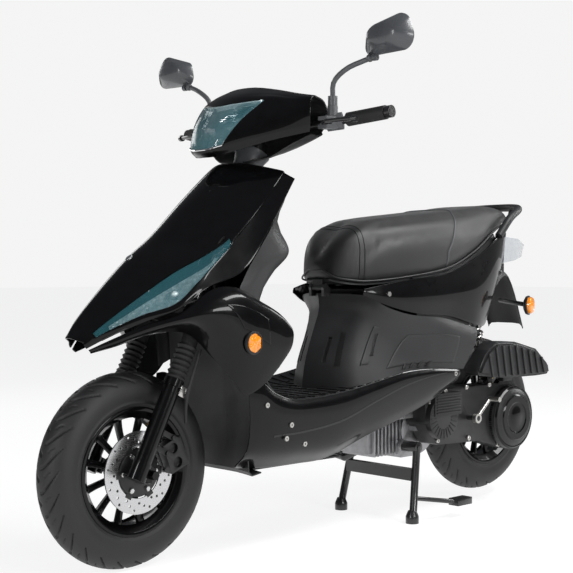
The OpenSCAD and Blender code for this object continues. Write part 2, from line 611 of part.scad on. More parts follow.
// ---- Front fork and wheels ----
module fork_sliders() {
    color(gloss_black) on_steering() left_and_right() difference() {
        union() {
            translate([leg_x, leg_y, -24]) cylinder(h = 226, r = 19, $fn = 64);
            translate([leg_x, leg_y, -30]) cylinder(h = 40, r = 21, $fn = 64);
            translate([leg_x, leg_y, 186]) cylinder(h = 16, r = 22, $fn = 64);
            translate([6, leg_y - 10, -24]) cube([leg_x - 6, 20, 34]);
        }
        translate([leg_x, leg_y, 60]) cylinder(h = 200, r = stanchion_r + fit, $fn = 64);
    }
    color(metal) translate(front_axle) {
        translate([0, -leg_y - 18, 0]) cyl_y(front_axle_r, 0, 2 * leg_y + 36);
        left_and_right() translate([0, leg_y + 10, 0]) rotate([-90, 0, 0]) cylinder(h = 13, r = 10, $fn = 6);
    }
}
module fork_gaiters() {
    ridge = 6;
    color(rubber_black) on_steering() left_and_right() translate([leg_x, leg_y, 202.5]) rotate_extrude($fn = 48)
        polygon(concat([[stanchion_r + 1.5, 0], [20, 0]],
            [for (k = [0:13]) [k % 2 == 0 ? 23 : 18.5, 4 + ridge * k]], [[20, 134], [stanchion_r + 1.5, 134]]));
}
module brake_caliper() {
    // The caliper sits on the disc's rear edge, turned back from the fork leg
    color("#3b3c3e") on_steering() {
        translate([11.6, 0, -5.9]) rotate([0, 49, 0]) difference() {
            box_between([-114, 38, -34], [-62, 80, 34]);
            box_between([-100, 49, -50], [-40, 56, 50]);
            for (z = [-17, 17]) translate([-86, 70, z]) rotate([-90, 0, 0]) cylinder(h = 12, r = 12, $fn = 32);
        }
        for (z = [48, 84]) box_between([-40, 73, z], [30, 81, z + 12]);
    }
    color(metal) on_steering() for (z = [54, 90]) translate([-20, 81, z]) rotate([-90, 0, 0]) cylinder(h = 5, r = 6, $fn = 6);
}
module brake_hose() {
    color(rubber_black) hose([[500, 116, 478], [528, 122, 420], [540, 119, 380], [532, 104, 345], [526, 97, 318]], 4, 12, 8, [0, 1, 0]);
    color(metal) on_steering() translate([18, 109, 170]) cube([16, 5, 22]);
}
module tyre() {
    bead_r = 139;
    shoulder = [for (a = [0:15:180]) [168 + tyre_half_w * sin(a), -tyre_half_w * cos(a)]];
    color(rubber_black) rotate([-90, 0, 0]) rotate_extrude($fn = 96) polygon(concat(
        [[bead_r, 40], [bead_r, 33], [168, 38], [190, 30], [198, 0], [190, -30], [168, -38], [bead_r, -33], [bead_r, -40]],
        shoulder));
}
module rim(hub_half_w, bore_r) {
    color(gloss_black) rotate([-90, 0, 0]) difference() {
        union() {
            rotate_extrude($fn = 96) polygon([[118, -30], [130, -42], [141, -42], [141, -40.5], [138.5, -40.5], [138.5, -32.5],
                [128, -26], [128, 26], [138.5, 32.5], [138.5, 40.5], [141, 40.5], [141, 42], [130, 42], [118, 30],
                [122, 20], [122, -20]]);
            cylinder(h = 2 * hub_half_w, r = 34, center = true, $fn = 64);
            for (k = [0:spoke_count - 1]) rotate([0, 0, 360 / spoke_count * (k + 0.5)]) translate([30, -7, 10])
                cube([94, 14, 14]);
        }
        cylinder(h = 200, r = bore_r, center = true, $fn = 64);
    }
}
module front_tyre() {
    translate(front_axle) tyre();
}
module rear_tyre() {
    translate(rear_axle) tyre();
}
module front_rim() {
    translate(front_axle) rim(46, front_axle_r + fit);
    color("#b08d3c") translate(front_axle) rotate([0, 15, 0]) rod([0, 24, 122], [0, 31, 116], 4);
}
module rear_rim() {
    translate(rear_axle) rim(46, 10 + fit);
}
module brake_disc() {
    ring_in = 56;
    color("silver") translate(front_axle + [0, 50.5, 0]) rotate([-90, 0, 0]) difference() {
        cylinder(h = 3.5, r = disc_r, $fn = 96);
        translate([0, 0, -1]) cylinder(h = 6, r = ring_in, $fn = 96);
        for (k = [0:11]) rotate(30 * k) {
            translate([66, 0, -1]) cylinder(h = 6, r = 3, $fn = 24);
            rotate(10) translate([74, 0, -1]) cylinder(h = 6, r = 3, $fn = 24);
            rotate(20) translate([82, 0, -1]) cylinder(h = 6, r = 3, $fn = 24);
        }
    }
    color("#202022") translate(front_axle + [0, 46, 0]) rotate([-90, 0, 0]) difference() {
        union() {
            cylinder(h = 8, r = 50, $fn = 96);
            for (k = [0:5]) rotate(60 * k) translate([40, -10, 2]) cube([20, 20, 2.5]);
        }
        translate([0, 0, -1]) cylinder(h = 12, r = 20, $fn = 48);
    }
    color(metal) translate(front_axle + [0, 54, 0]) rotate([-90, 0, 0]) for (k = [0:5]) rotate(60 * k)
        translate([42, 0, 0]) cylinder(h = 5, r = 5, $fn = 6);
}

// ---- Engine unit ----
module crankcase() {
    color(metal) difference() {
        union() {
            translate([-300, -68, 226]) cyl_y(66, 0, 124);
            // Cylinder and head with cooling fins, and the shroud's mouth
            box_between([-240, -46, 176], [-112, 46, 266]);
            for (k = [0:7]) box_between([-232 + 14 * k, -56, 168], [-226 + 14 * k, 56, 274]);
            // Arms up to the swing pin
            left_and_right() box_between([-270, 60, 262], [-150, 80, 284]);
            left_and_right() hull() {
                translate([engine_pin.x, 60, engine_pin.z]) cyl_y(18, 0, 20);
                translate([-186, 60, 274]) cyl_y(10, 0, 20);
            }
            box_between([-330, -80, 226], [-262, 80, 284]);
            // Lug that carries the centre stand
            box_between([-262, -70, 160], [-216, 70, 184]);
            translate([stand_pin.x, -70, stand_pin.z]) cyl_y(16, 0, 140);
        }
        left_and_right() translate([engine_pin.x, 50, engine_pin.z]) cyl_y(engine_pin_r + fit, 0, 60);
        translate([stand_pin.x, -80, stand_pin.z]) cyl_y(stand_pin_r + fit + 0.03, 0, 160);
        translate([stand_pin.x, -54, stand_pin.z]) cyl_y(stand_pin_r + 2, 0, 108);
    }
    // Final drive: the shaft that carries the rear wheel, and its drum brake's back plate
    color(metal) translate([rear_axle.x, -62, rear_axle.z]) {
        cyl_y(10, 0, 124);
        translate([0, -8, 0]) rotate([-90, 0, 0]) cylinder(h = 12, r = 16, $fn = 6);
        translate([0, 109.5, 0]) cyl_y(60, 0, 12);
    }
}
module cvt_case() {
    side_line = [[-252, 250], [-250, 320], [-300, 334], [-560, 334], [-640, 326], [-700, 250], [-660, 160], [-600, 150],
        [-480, 184], [-300, 190]];
    color("#161618") {
        translate([0, 60, 0]) rotate([90, 0, 0]) mirror([0, 0, 1]) linear_extrude(62) offset(14) offset(-14) polygon(side_line);
        translate([rear_axle.x + 12, 122, rear_axle.z]) cyl_y(88, 0, 20);
        translate([rear_axle.x + 12, 142, rear_axle.z]) rotate([-90, 0, 0]) cylinder(h = 10, r1 = 86, r2 = 66, $fn = 96);
        translate([-310, 122, 262]) cyl_y(58, 0, 16);
        // Air intake on the front of the case
        box_between([-380, 120, 268], [-270, 141, 326]);
        translate([kick_pin.x, 122, kick_pin.z]) cyl_y(7, 0, 36);
        // Lower eye of the shock absorber
        for (y = [60, 92]) translate([0, y, 0]) {
            box_between([shock_foot.x - 10, 0, 326], [shock_foot.x + 10, 4, shock_foot.z]);
            translate([shock_foot.x, 0, shock_foot.z]) cyl_y(10, 0, 4);
        }
    }
    color(metal) translate([shock_foot.x, 58, shock_foot.z]) cyl_y(5, 0, 40);
}
module air_filter() {
    side_line = [[-430, 366], [-446, 394], [-478, 432], [-520, 454], [-600, 450], [-700, 426], [-756, 382], [-764, 352],
        [-700, 350], [-560, 352]];
    color("#26272a") {
        translate([0, 106, 0]) rotate([90, 0, 0]) mirror([0, 0, 1]) linear_extrude(44) offset(10) offset(-10) polygon(side_line);
        translate([0, 150, 0]) rotate([90, 0, 0]) mirror([0, 0, 1]) linear_extrude(8) offset(-8) polygon(side_line);
        box_between([-620, 108, 340], [-580, 128, 354]);
    }
}
module muffler() {
    color("#1c1c1e") {
        rod([-330, -176, 226], [-700, -180, 268], 46);
        translate([-700, -180, 268]) rotate([0, -84, 0]) cylinder(h = 10, r = 20, $fn = 48);
        bent_rod([[-176, -30, 182], [-150, -70, 156], [-160, -158, 166], [-240, -172, 212], [-340, -176, 227]], 13);
        box_between([-420, -134, 196], [-360, -80, 208]);
    }
}
module centre_stand() {
    foot_x = -196;
    leg_top_y = 112;
    foot_y = 126;
    color("#1a1a1b") {
        left_and_right() {
            bent_rod([[stand_pin.x, leg_top_y, stand_pin.z], [foot_x - 4, foot_y, 30]], 10);
        }
        left_and_right() translate([stand_pin.x, 71, stand_pin.z]) cyl_y(14, 0, 48);
        box_between([-223, -114, 106], [-203, 114, 136]);
        // Foot lever
        rod([-205, 118, 62], [-336, 156, 41], 6);
        box_between([-384, 140, 32], [-326, 172, 50]);
    }
    color(metal) translate([stand_pin.x, -122, stand_pin.z]) cyl_y(stand_pin_r, 0, 244);
    color(rubber_black) left_and_right() translate([foot_x, foot_y, 0]) {
        cylinder(h = 18, r = 17, $fn = 48);
        translate([0, 0, 18]) cylinder(h = 14, r1 = 17, r2 = 11, $fn = 48);
    }
}
module kick_lever() {
    color(metal) difference() {
        union() {
            translate([kick_pin.x, 146, kick_pin.z]) cyl_y(13, 0, 12);
            rod([-436, 152, 258], [-486, 152, 300], 5);
            rod([-486, 148, 300], [-486, 186, 300], 7);
        }
        translate([kick_pin.x, 120, kick_pin.z]) cyl_y(7 + fit, 0, 60);
    }
}
module on_shock() {
    d = unit(shock_axis);
    translate(shock_foot) rotate([0, acos(d.z), atan2(d.y, d.x)]) children();
}
shock_length = norm(shock_axis);
module shock_body() {
    color("#2a2a2c") on_shock() difference() {
        union() {
            translate([0, 0, shock_length - 110]) cylinder(h = 98, r = 12, $fn = 48);
            translate([0, 0, shock_length - 30]) cylinder(h = 8, r = 25, $fn = 48);
            translate([0, 12, shock_length]) rotate([90, 0, 0]) cylinder(h = 24, r = 11, $fn = 48);
        }
        translate([0, 0, shock_length - 112]) cylinder(h = 80, r = 7, $fn = 48);
        translate([0, 20, shock_length]) rotate([90, 0, 0]) cylinder(h = 40, r = 5 + fit, $fn = 48);
    }
}
module shock_rod() {
    color("silver") on_shock() difference() {
        union() {
            translate([0, 0, 6]) cylinder(h = 130, r = 5.5, $fn = 48);
            translate([0, 0, 14]) cylinder(h = 8, r = 25, $fn = 48);
            translate([0, 12, 0]) rotate([90, 0, 0]) cylinder(h = 24, r = 11, $fn = 48);
        }
        translate([0, 20, 0]) rotate([90, 0, 0]) cylinder(h = 40, r = 5 + fit, $fn = 48);
    }
}
module shock_spring() {
    turns = 7;
    low = 22;
    high = shock_length - 30;
    coil_r = 19;
    wire_r = 3.5;
    count = turns * 14;
    line = [for (k = [0:count]) [coil_r * cos(360 * turns * k / count), coil_r * sin(360 * turns * k / count),
        low + wire_r + (high - low - 2 * wire_r) * k / count]];
    color("#3a3a3c") on_shock() loft([for (k = [0:count])
        ring_at(line[k], line[min(k + 1, count)] - line[max(k - 1, 0)], wire_r, 8, [0, 0, 1])]);
}

// ---- Seat ----
// Each station: X, bottom, top, half width
seat_stations = [
    [30, 646, 670, 24], [20, 628, 706, 58], [-10, 620, 742, 86], [-60, 617, 766, 108], [-170, 627, 783, 134],
    [-315, 649, 798, 147], [-440, 694, 811, 139], [-540, 750, 823, 129], [-620, 778, 826, 107], [-690, 794, 814, 61]];
// Right half of a seat section, as shares of its half width and of its height
seat_section = [[0, 0.015], [0.9, 0], [0.98, 0.12], [1, 0.4], [0.95, 0.72], [0.8, 0.92], [0.5, 0.99], [0, 1]];
function seat_ring(s) =
    let (half = [for (p = seat_section) [s[0], -s[3] * p[0], s[1] + (s[2] - s[1]) * p[1]]])
    concat(half, [for (k = [len(half) - 2:-1:1]) other_side(half[k])]);
module seat_cushion() {
    color("#232325") loft([for (s = curve(seat_stations, 27)) seat_ring(s)]);
}
module seat_pan() {
    net = [for (s = seat_stations) if (s[0] < 25 && s[0] > -680) [for (y = [-1, -0.5, 0, 0.5, 1]) [s[0], y * (s[3] - 18), s[1] - 0.3]]];
    color(matte_black) difference() {
        union() {
            sheet(fine_net(net, 18, 4), -5);
            translate([seat_pin.x, -17, seat_pin.z]) cyl_y(8, 0, 34);
            box_between([4, -17, 604], [seat_pin.x + 5, 17, 626]);
        }
        translate([seat_pin.x, -20, seat_pin.z]) cyl_y(4 + fit, 0, 40);
    }
}

main_frame();
front_cover();
side_fairings();
turn_lenses();
turn_reflectors();
side_reflectors();
leg_shield();
floorboard();
side_skirts();
arch_panel();
seat_body();
tail_sides();
grab_rail();
tail_lamp();
rear_mudguard();
rear_signals();
storage_bucket();
fuel_tank();
body_screws();
ignition_lock();
steering_stem();
handlebar();
headset_front();
headset_rear();
headlight_lens();
headlight_bowl();
left_grip();
lever_perches();
throttle_grip();
left_lever();
right_lever();
left_mirror_arm();
left_mirror_head();
left_mirror_glass();
right_mirror_arm();
right_mirror_head();
right_mirror_glass();
horn_button();
turn_switch();
start_button();
fork_sliders();
brake_caliper();
fork_gaiters();
brake_hose();
front_tyre();
front_rim();
brake_disc();
crankcase();
cvt_case();
air_filter();
muffler();
rear_tyre();
rear_rim();
centre_stand();
kick_lever();
shock_body();
shock_rod();
shock_spring();
seat_cushion();
seat_pan();
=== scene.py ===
import math
import bmesh
import bpy
import numpy as np
from mathutils import Matrix, Vector
from mathutils.bvhtree import BVHTree


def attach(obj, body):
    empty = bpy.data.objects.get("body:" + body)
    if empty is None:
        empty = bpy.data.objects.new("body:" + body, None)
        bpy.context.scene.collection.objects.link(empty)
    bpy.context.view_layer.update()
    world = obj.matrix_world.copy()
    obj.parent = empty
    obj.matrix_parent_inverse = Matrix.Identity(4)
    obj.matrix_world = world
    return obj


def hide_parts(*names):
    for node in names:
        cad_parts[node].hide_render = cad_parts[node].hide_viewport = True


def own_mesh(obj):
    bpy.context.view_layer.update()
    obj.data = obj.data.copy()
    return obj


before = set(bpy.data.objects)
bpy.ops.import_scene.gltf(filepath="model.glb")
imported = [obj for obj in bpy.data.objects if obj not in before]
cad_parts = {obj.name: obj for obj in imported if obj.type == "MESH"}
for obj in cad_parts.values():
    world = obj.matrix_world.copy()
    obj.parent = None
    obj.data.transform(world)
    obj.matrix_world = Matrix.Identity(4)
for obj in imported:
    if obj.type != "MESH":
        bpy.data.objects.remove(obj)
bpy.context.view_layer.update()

scene = bpy.context.scene
MM = 0.001

# ---- Camera, floor and light ----
# The camera's lens, place and direction are fitted to the photo by the wheels, the stand and the handlebar
camera_data = bpy.data.cameras.new("photo_camera")
camera_data.lens = 78.47
camera_data.sensor_width = 36.0
camera = bpy.data.objects.new("photo_camera", camera_data)
camera.location = (2.244, 2.211, 0.661)
camera.rotation_euler = Vector((-0.691, -0.7226, -0.0169)).to_track_quat("-Z", "Y").to_euler()
scene.collection.objects.link(camera)
scene.camera = camera


def node_of(tree, kind, **inputs):
    """A new shader node with some of its inputs set by name."""
    n = tree.nodes.new(kind)
    for key, value in inputs.items():
        n.inputs[key.replace("_", " ")].default_value = value
    return n


def make_floor():
    half = 30.0
    data = bpy.data.meshes.new("studio_floor")
    data.from_pydata([(-half, -half, 0), (half, -half, 0), (half, half, 0), (-half, half, 0)], [],
                     [(0, 1, 2, 3)])
    floor = bpy.data.objects.new("studio_floor", data)
    scene.collection.objects.link(floor)
    mat = bpy.data.materials.new("studio_floor")
    mat.use_nodes = True
    tree = mat.node_tree
    shader = tree.nodes["Principled BSDF"]
    shader.inputs["Roughness"].default_value = 0.9
    shader.inputs["Specular IOR Level"].default_value = 0.1
    shader.inputs["Emission Color"].default_value = (1, 1, 1, 1)
    shader.inputs["Emission Strength"].default_value = 0.84
    noise = node_of(tree, "ShaderNodeTexNoise", Scale=3.0, Detail=3.0)
    ramp = tree.nodes.new("ShaderNodeValToRGB")
    ramp.color_ramp.elements[0].color = (0.22, 0.22, 0.22, 1)
    ramp.color_ramp.elements[1].color = (0.26, 0.26, 0.26, 1)
    tree.links.new(noise.outputs["Fac"], ramp.inputs["Fac"])
    tree.links.new(ramp.outputs["Color"], shader.inputs["Base Color"])
    data.materials.append(mat)


def make_light(name, place, target, size, power):
    data = bpy.data.lights.new(name, "AREA")
    data.shape = "RECTANGLE"
    data.size, data.size_y = size
    data.energy = power
    lamp = bpy.data.objects.new(name, data)
    lamp.location = place
    lamp.rotation_euler = (Vector(target) - Vector(place)).to_track_quat("-Z", "Y").to_euler()
    scene.collection.objects.link(lamp)


make_floor()
MIDDLE = (0.0, 0.0, 0.5)
make_light("top_softbox", (-0.9, 1.7, 2.9), MIDDLE, (2.2, 0.7), 75)
make_light("left_softbox", (0.2, 3.6, 1.7), MIDDLE, (1.6, 0.7), 48)
make_light("front_softbox", (3.8, 0.6, 1.5), MIDDLE, (0.5, 1.6), 40)
make_light("rear_softbox", (-3.4, 1.0, 1.8), MIDDLE, (0.7, 1.4), 34)
make_light("right_softbox", (-0.2, -3.4, 1.9), MIDDLE, (2.0, 0.9), 16)


def make_world():
    world = bpy.data.worlds.new("studio_world")
    scene.world = world
    world.use_nodes = True
    tree = world.node_tree
    tree.nodes.clear()
    out = tree.nodes.new("ShaderNodeOutputWorld")
    place = tree.nodes.new("ShaderNodeTexCoord")
    split = tree.nodes.new("ShaderNodeSeparateXYZ")
    tree.links.new(place.outputs["Generated"], split.inputs["Vector"])
    ramp = tree.nodes.new("ShaderNodeValToRGB")
    ramp.color_ramp.elements[0].position = 0.0
    ramp.color_ramp.elements[0].color = (0.035, 0.036, 0.038, 1)
    ramp.color_ramp.elements[1].position = 0.75
    ramp.color_ramp.elements[1].color = (0.15, 0.155, 0.165, 1)
    tree.links.new(split.outputs["Z"], ramp.inputs["Fac"])
    around = node_of(tree, "ShaderNodeBackground", Strength=1.0)
    tree.links.new(ramp.outputs["Color"], around.inputs["Color"])
    seen = node_of(tree, "ShaderNodeBackground", Color=(0.91, 0.91, 0.91, 1), Strength=1.0)
    path = tree.nodes.new("ShaderNodeLightPath")
    mix = tree.nodes.new("ShaderNodeMixShader")
    for slot, part in enumerate((path.outputs["Is Camera Ray"], around.outputs[0], seen.outputs[0])):
        tree.links.new(part, mix.inputs[slot])
    tree.links.new(mix.outputs[0], out.inputs["Surface"])


make_world()
scene.view_settings.view_transform = "Standard"

# Control nets of the panels, in millimetres
COVER_NET = [
    [[766, 0, 507], [762, 10, 506], [744, 24, 498], [742, 26, 493], [738, 28, 486]],
    [[737, 0, 548], [722, 24, 541], [713, 42, 530], [709, 50, 518], [703, 53, 508]],
    [[668, 0, 617], [655, 34, 608], [632, 73, 593], [645, 96, 554], [640, 100, 542]],
    [[598, 0, 680], [578, 48, 668], [557, 97, 645], [585, 136, 578], [578, 142, 569]],
    [[536, 0, 726], [512, 56, 712], [486, 122, 684], [534, 146, 622], [516, 156, 612]],
    [[440, 0, 812], [418, 62, 798], [433, 137, 720], [434, 141, 704], [414, 163, 652]],
    [[350, 0, 886], [335, 60, 872], [345, 135, 800], [343, 141, 792], [330, 170, 764]],
    [[313, 0, 898], [305, 55, 894], [268, 125, 878], [265, 133, 872], [252, 155, 858]]]
FAIRING_NET = [
    [[734, 30, 483], [733, 31, 481], [731, 31, 479], [729, 30, 477], [727, 28, 475]],
    [[700, 57, 503], [697, 62, 500], [693, 64, 496], [686, 60, 492], [677, 46, 488]],
    [[636, 104, 537], [633, 114, 531], [626, 116, 525], [620, 104, 518], [614, 82, 512]],
    [[574, 146, 563], [568, 162, 556], [560, 166, 546], [552, 150, 532], [540, 114, 514]],
    [[512, 160, 606], [506, 186, 586], [500, 196, 552], [495, 184, 506], [496, 150, 462]],
    [[455, 176, 614], [446, 198, 590], [442, 208, 545], [446, 204, 484], [462, 182, 410]],
    [[385, 182, 583], [378, 202, 566], [380, 210, 520], [390, 206, 450], [432, 188, 378]],
    [[336, 190, 556], [330, 203, 540], [330, 208, 500], [340, 206, 455], [380, 196, 402]],
    [[310, 198, 530], [305, 204, 518], [304, 206, 500], [312, 205, 474], [342, 200, 436]]]
SHIELD_NET = [
    [[205, 0, 884], [208, 50, 882], [222, 98, 874], [236, 124, 864], [246, 136, 852]],
    [[208, 0, 820], [212, 60, 820], [238, 106, 819], [262, 134, 814], [282, 146, 806]],
    [[224, 0, 760], [230, 66, 760], [262, 108, 759], [296, 141, 757], [324, 156, 748]],
    [[230, 0, 695], [234, 84, 695], [252, 136, 693], [300, 157, 690], [372, 156, 684]],
    [[276, 0, 645], [280, 80, 645], [300, 134, 645], [352, 156, 648], [402, 154, 640]],
    [[326, 0, 590], [330, 86, 590], [345, 140, 590], [390, 158, 590], [430, 162, 590]],
    [[340, 0, 500], [340, 88, 500], [348, 134, 500], [376, 156, 500], [410, 162, 500]],
    [[348, 0, 446], [348, 80, 446], [354, 128, 444], [370, 152, 436], [400, 162, 420]]]
FLOOR_NET = [
    [[352, 0, 440], [352, 60, 438], [352, 120, 430], [356, 168, 404]],
    [[342, 0, 395], [341, 60, 392], [340, 120, 386], [334, 168, 378]],
    [[310, 0, 362], [308, 60, 361], [306, 120, 359], [302, 168, 358]],
    [[230, 0, 351], [230, 60, 351], [230, 120, 350], [230, 168, 350]],
    [[110, 0, 351], [110, 60, 351], [110, 120, 351], [110, 168, 357]],
    [[0, 0, 356], [0, 60, 356], [0, 120, 359], [0, 167, 372]],
    [[-117, 0, 362], [-117, 60, 362], [-117, 120, 372], [-117, 164, 390]]]
SKIRT_NET = [
    [[402, 167, 404], [404, 168, 370], [400, 167, 310], [404, 160, 250], [430, 148, 214]],
    [[368, 171, 402], [370, 176, 372], [368, 174, 312], [372, 160, 248], [392, 128, 207]],
    [[322, 172, 372], [322, 179, 350], [320, 178, 300], [318, 160, 243], [318, 120, 199]],
    [[250, 172, 354], [250, 180, 335], [245, 178, 288], [240, 158, 236], [230, 116, 197]],
    [[120, 172, 360], [118, 180, 340], [115, 178, 292], [112, 156, 236], [105, 114, 199]],
    [[0, 172, 376], [0, 178, 358], [0, 176, 318], [0, 165, 278], [0, 148, 246]],
    [[-120, 169, 394], [-120, 174, 378], [-120, 172, 343], [-120, 162, 304], [-120, 146, 274]],
    [[-240, 163, 396], [-240, 167, 385], [-240, 166, 360], [-240, 160, 335], [-240, 147, 311]],
    [[-352, 154, 388], [-352, 157, 383], [-352, 157, 376], [-352, 155, 370], [-352, 149, 360]]]
SEAT_BODY_NET = [
    [[74, 0, 356], [64, 0, 420], [38, 0, 490], [14, 0, 550], [18, 0, 592]],
    [[34, 68, 357], [24, 62, 420], [-2, 58, 490], [-24, 58, 550], [-18, 72, 590]],
    [[-6, 108, 361], [-14, 98, 420], [-34, 92, 490], [-50, 98, 550], [-48, 122, 582]],
    [[-70, 134, 378], [-76, 121, 425], [-84, 115, 485], [-86, 124, 530], [-84, 138, 558]],
    [[-160, 148, 394], [-160, 140, 430], [-165, 138, 475], [-168, 142, 512], [-168, 147, 536]],
    [[-280, 150, 394], [-290, 152, 430], [-298, 153, 470], [-298, 152, 500], [-290, 146, 524]],
    [[-372, 149, 388], [-396, 150, 420], [-420, 150, 450], [-434, 146, 476], [-440, 139, 492]]]
TAIL_NET = [
    [[-12, 121, 590], [-14, 123, 596], [-16, 122, 602]],
    [[-80, 142, 562], [-80, 146, 584], [-80, 140, 614]],
    [[-180, 151, 540], [-180, 157, 580], [-180, 151, 628]],
    [[-310, 149, 530], [-310, 156, 585], [-310, 150, 642]],
    [[-430, 142, 503], [-436, 149, 600], [-446, 142, 688]],
    [[-508, 112, 498], [-525, 130, 610], [-540, 132, 738]],
    [[-566, 84, 534], [-592, 100, 640], [-608, 106, 758]],
    [[-622, 58, 606], [-652, 68, 680], [-664, 70, 752]]]
HEADSET_NET = [
    [[392, 0, 908], [385, 28, 909], [372, 55, 915], [300, 125, 945], [232, 184, 966]],
    [[410, 0, 924], [402, 28, 926], [386, 56, 934], [310, 125, 962], [234, 188, 985]],
    [[396, 0, 975], [388, 36, 980], [354, 82, 990], [302, 130, 998], [236, 190, 1008]],
    [[350, 0, 1030], [338, 50, 1034], [302, 108, 1040], [270, 145, 1036], [234, 189, 1032]],
    [[322, 0, 1056], [312, 52, 1056], [280, 104, 1055], [254, 145, 1048], [230, 188, 1044]],
    [[278, 0, 1077], [272, 50, 1075], [252, 102, 1066], [238, 145, 1056], [222, 186, 1049]]]
SEAT_STATIONS = [
    [30, 646, 670, 24], [20, 628, 706, 58], [-10, 620, 742, 86], [-60, 617, 766, 108], [-170, 627, 783, 134],
    [-315, 649, 798, 147], [-440, 694, 811, 139], [-540, 750, 823, 129], [-620, 778, 826, 107],
    [-690, 794, 814, 61]]

# ---- Materials ----
def grain(tree, shader, kind, scale, distance, strength=0.5, under=None):
    """Bump from a noise or a cell texture, in the object's own metres."""
    place = tree.nodes.new("ShaderNodeTexCoord")
    if kind == "cells":
        tex = node_of(tree, "ShaderNodeTexVoronoi", Scale=scale)
        height = tex.outputs["Distance"]
    else:
        tex = node_of(tree, "ShaderNodeTexNoise", Scale=scale, Detail=4.0)
        height = tex.outputs["Fac"]
    tree.links.new(place.outputs["Object"], tex.inputs["Vector"])
    bump = node_of(tree, "ShaderNodeBump", Strength=strength, Distance=distance)
    tree.links.new(height, bump.inputs["Height"])
    if under:
        tree.links.new(under.outputs["Normal"], bump.inputs["Normal"])
    tree.links.new(bump.outputs["Normal"], shader.inputs["Normal"])
    return bump


def make_material(name, color, rough, metallic=0.0, coat=0.0, vary=0.15, vary_scale=40.0, rough_vary=0.06,
                  bumps=(), stretch=(1, 1, 1), **sockets):
    """A Principled material whose colour and roughness drift with noise, with any number of bump layers."""
    mat = bpy.data.materials.new(name)
    mat.use_nodes = True
    tree = mat.node_tree
    shader = tree.nodes["Principled BSDF"]
    shader.inputs["Metallic"].default_value = metallic
    shader.inputs["Coat Weight"].default_value = coat
    shader.inputs["Coat Roughness"].default_value = 0.03
    for key, value in sockets.items():
        shader.inputs[key.replace("_", " ")].default_value = value
    place = tree.nodes.new("ShaderNodeTexCoord")
    scaled = tree.nodes.new("ShaderNodeMapping")
    scaled.inputs["Scale"].default_value = stretch
    tree.links.new(place.outputs["Object"], scaled.inputs["Vector"])
    noise = node_of(tree, "ShaderNodeTexNoise", Scale=vary_scale, Detail=5.0)
    tree.links.new(scaled.outputs["Vector"], noise.inputs["Vector"])
    tint = tree.nodes.new("ShaderNodeValToRGB")
    tint.color_ramp.elements[0].position = 0.3
    tint.color_ramp.elements[1].position = 0.7
    tint.color_ramp.elements[0].color = [c * (1 - vary) for c in color] + [1]
    tint.color_ramp.elements[1].color = [min(c * (1 + vary), 1) for c in color] + [1]
    tree.links.new(noise.outputs["Fac"], tint.inputs["Fac"])
    tree.links.new(tint.outputs["Color"], shader.inputs["Base Color"])
    spread = node_of(tree, "ShaderNodeMapRange")
    spread.inputs["From Min"].default_value = 0.3
    spread.inputs["From Max"].default_value = 0.7
    spread.inputs["To Min"].default_value = max(rough - rough_vary, 0.0)
    spread.inputs["To Max"].default_value = min(rough + rough_vary, 1.0)
    tree.links.new(noise.outputs["Fac"], spread.inputs["Value"])
    tree.links.new(spread.outputs["Result"], shader.inputs["Roughness"])
    under = None
    for kind, scale, distance, strength in bumps:
        under = grain(tree, shader, kind, scale, distance, strength, under)
    return mat


BRUSHED = (1, 1, 24)
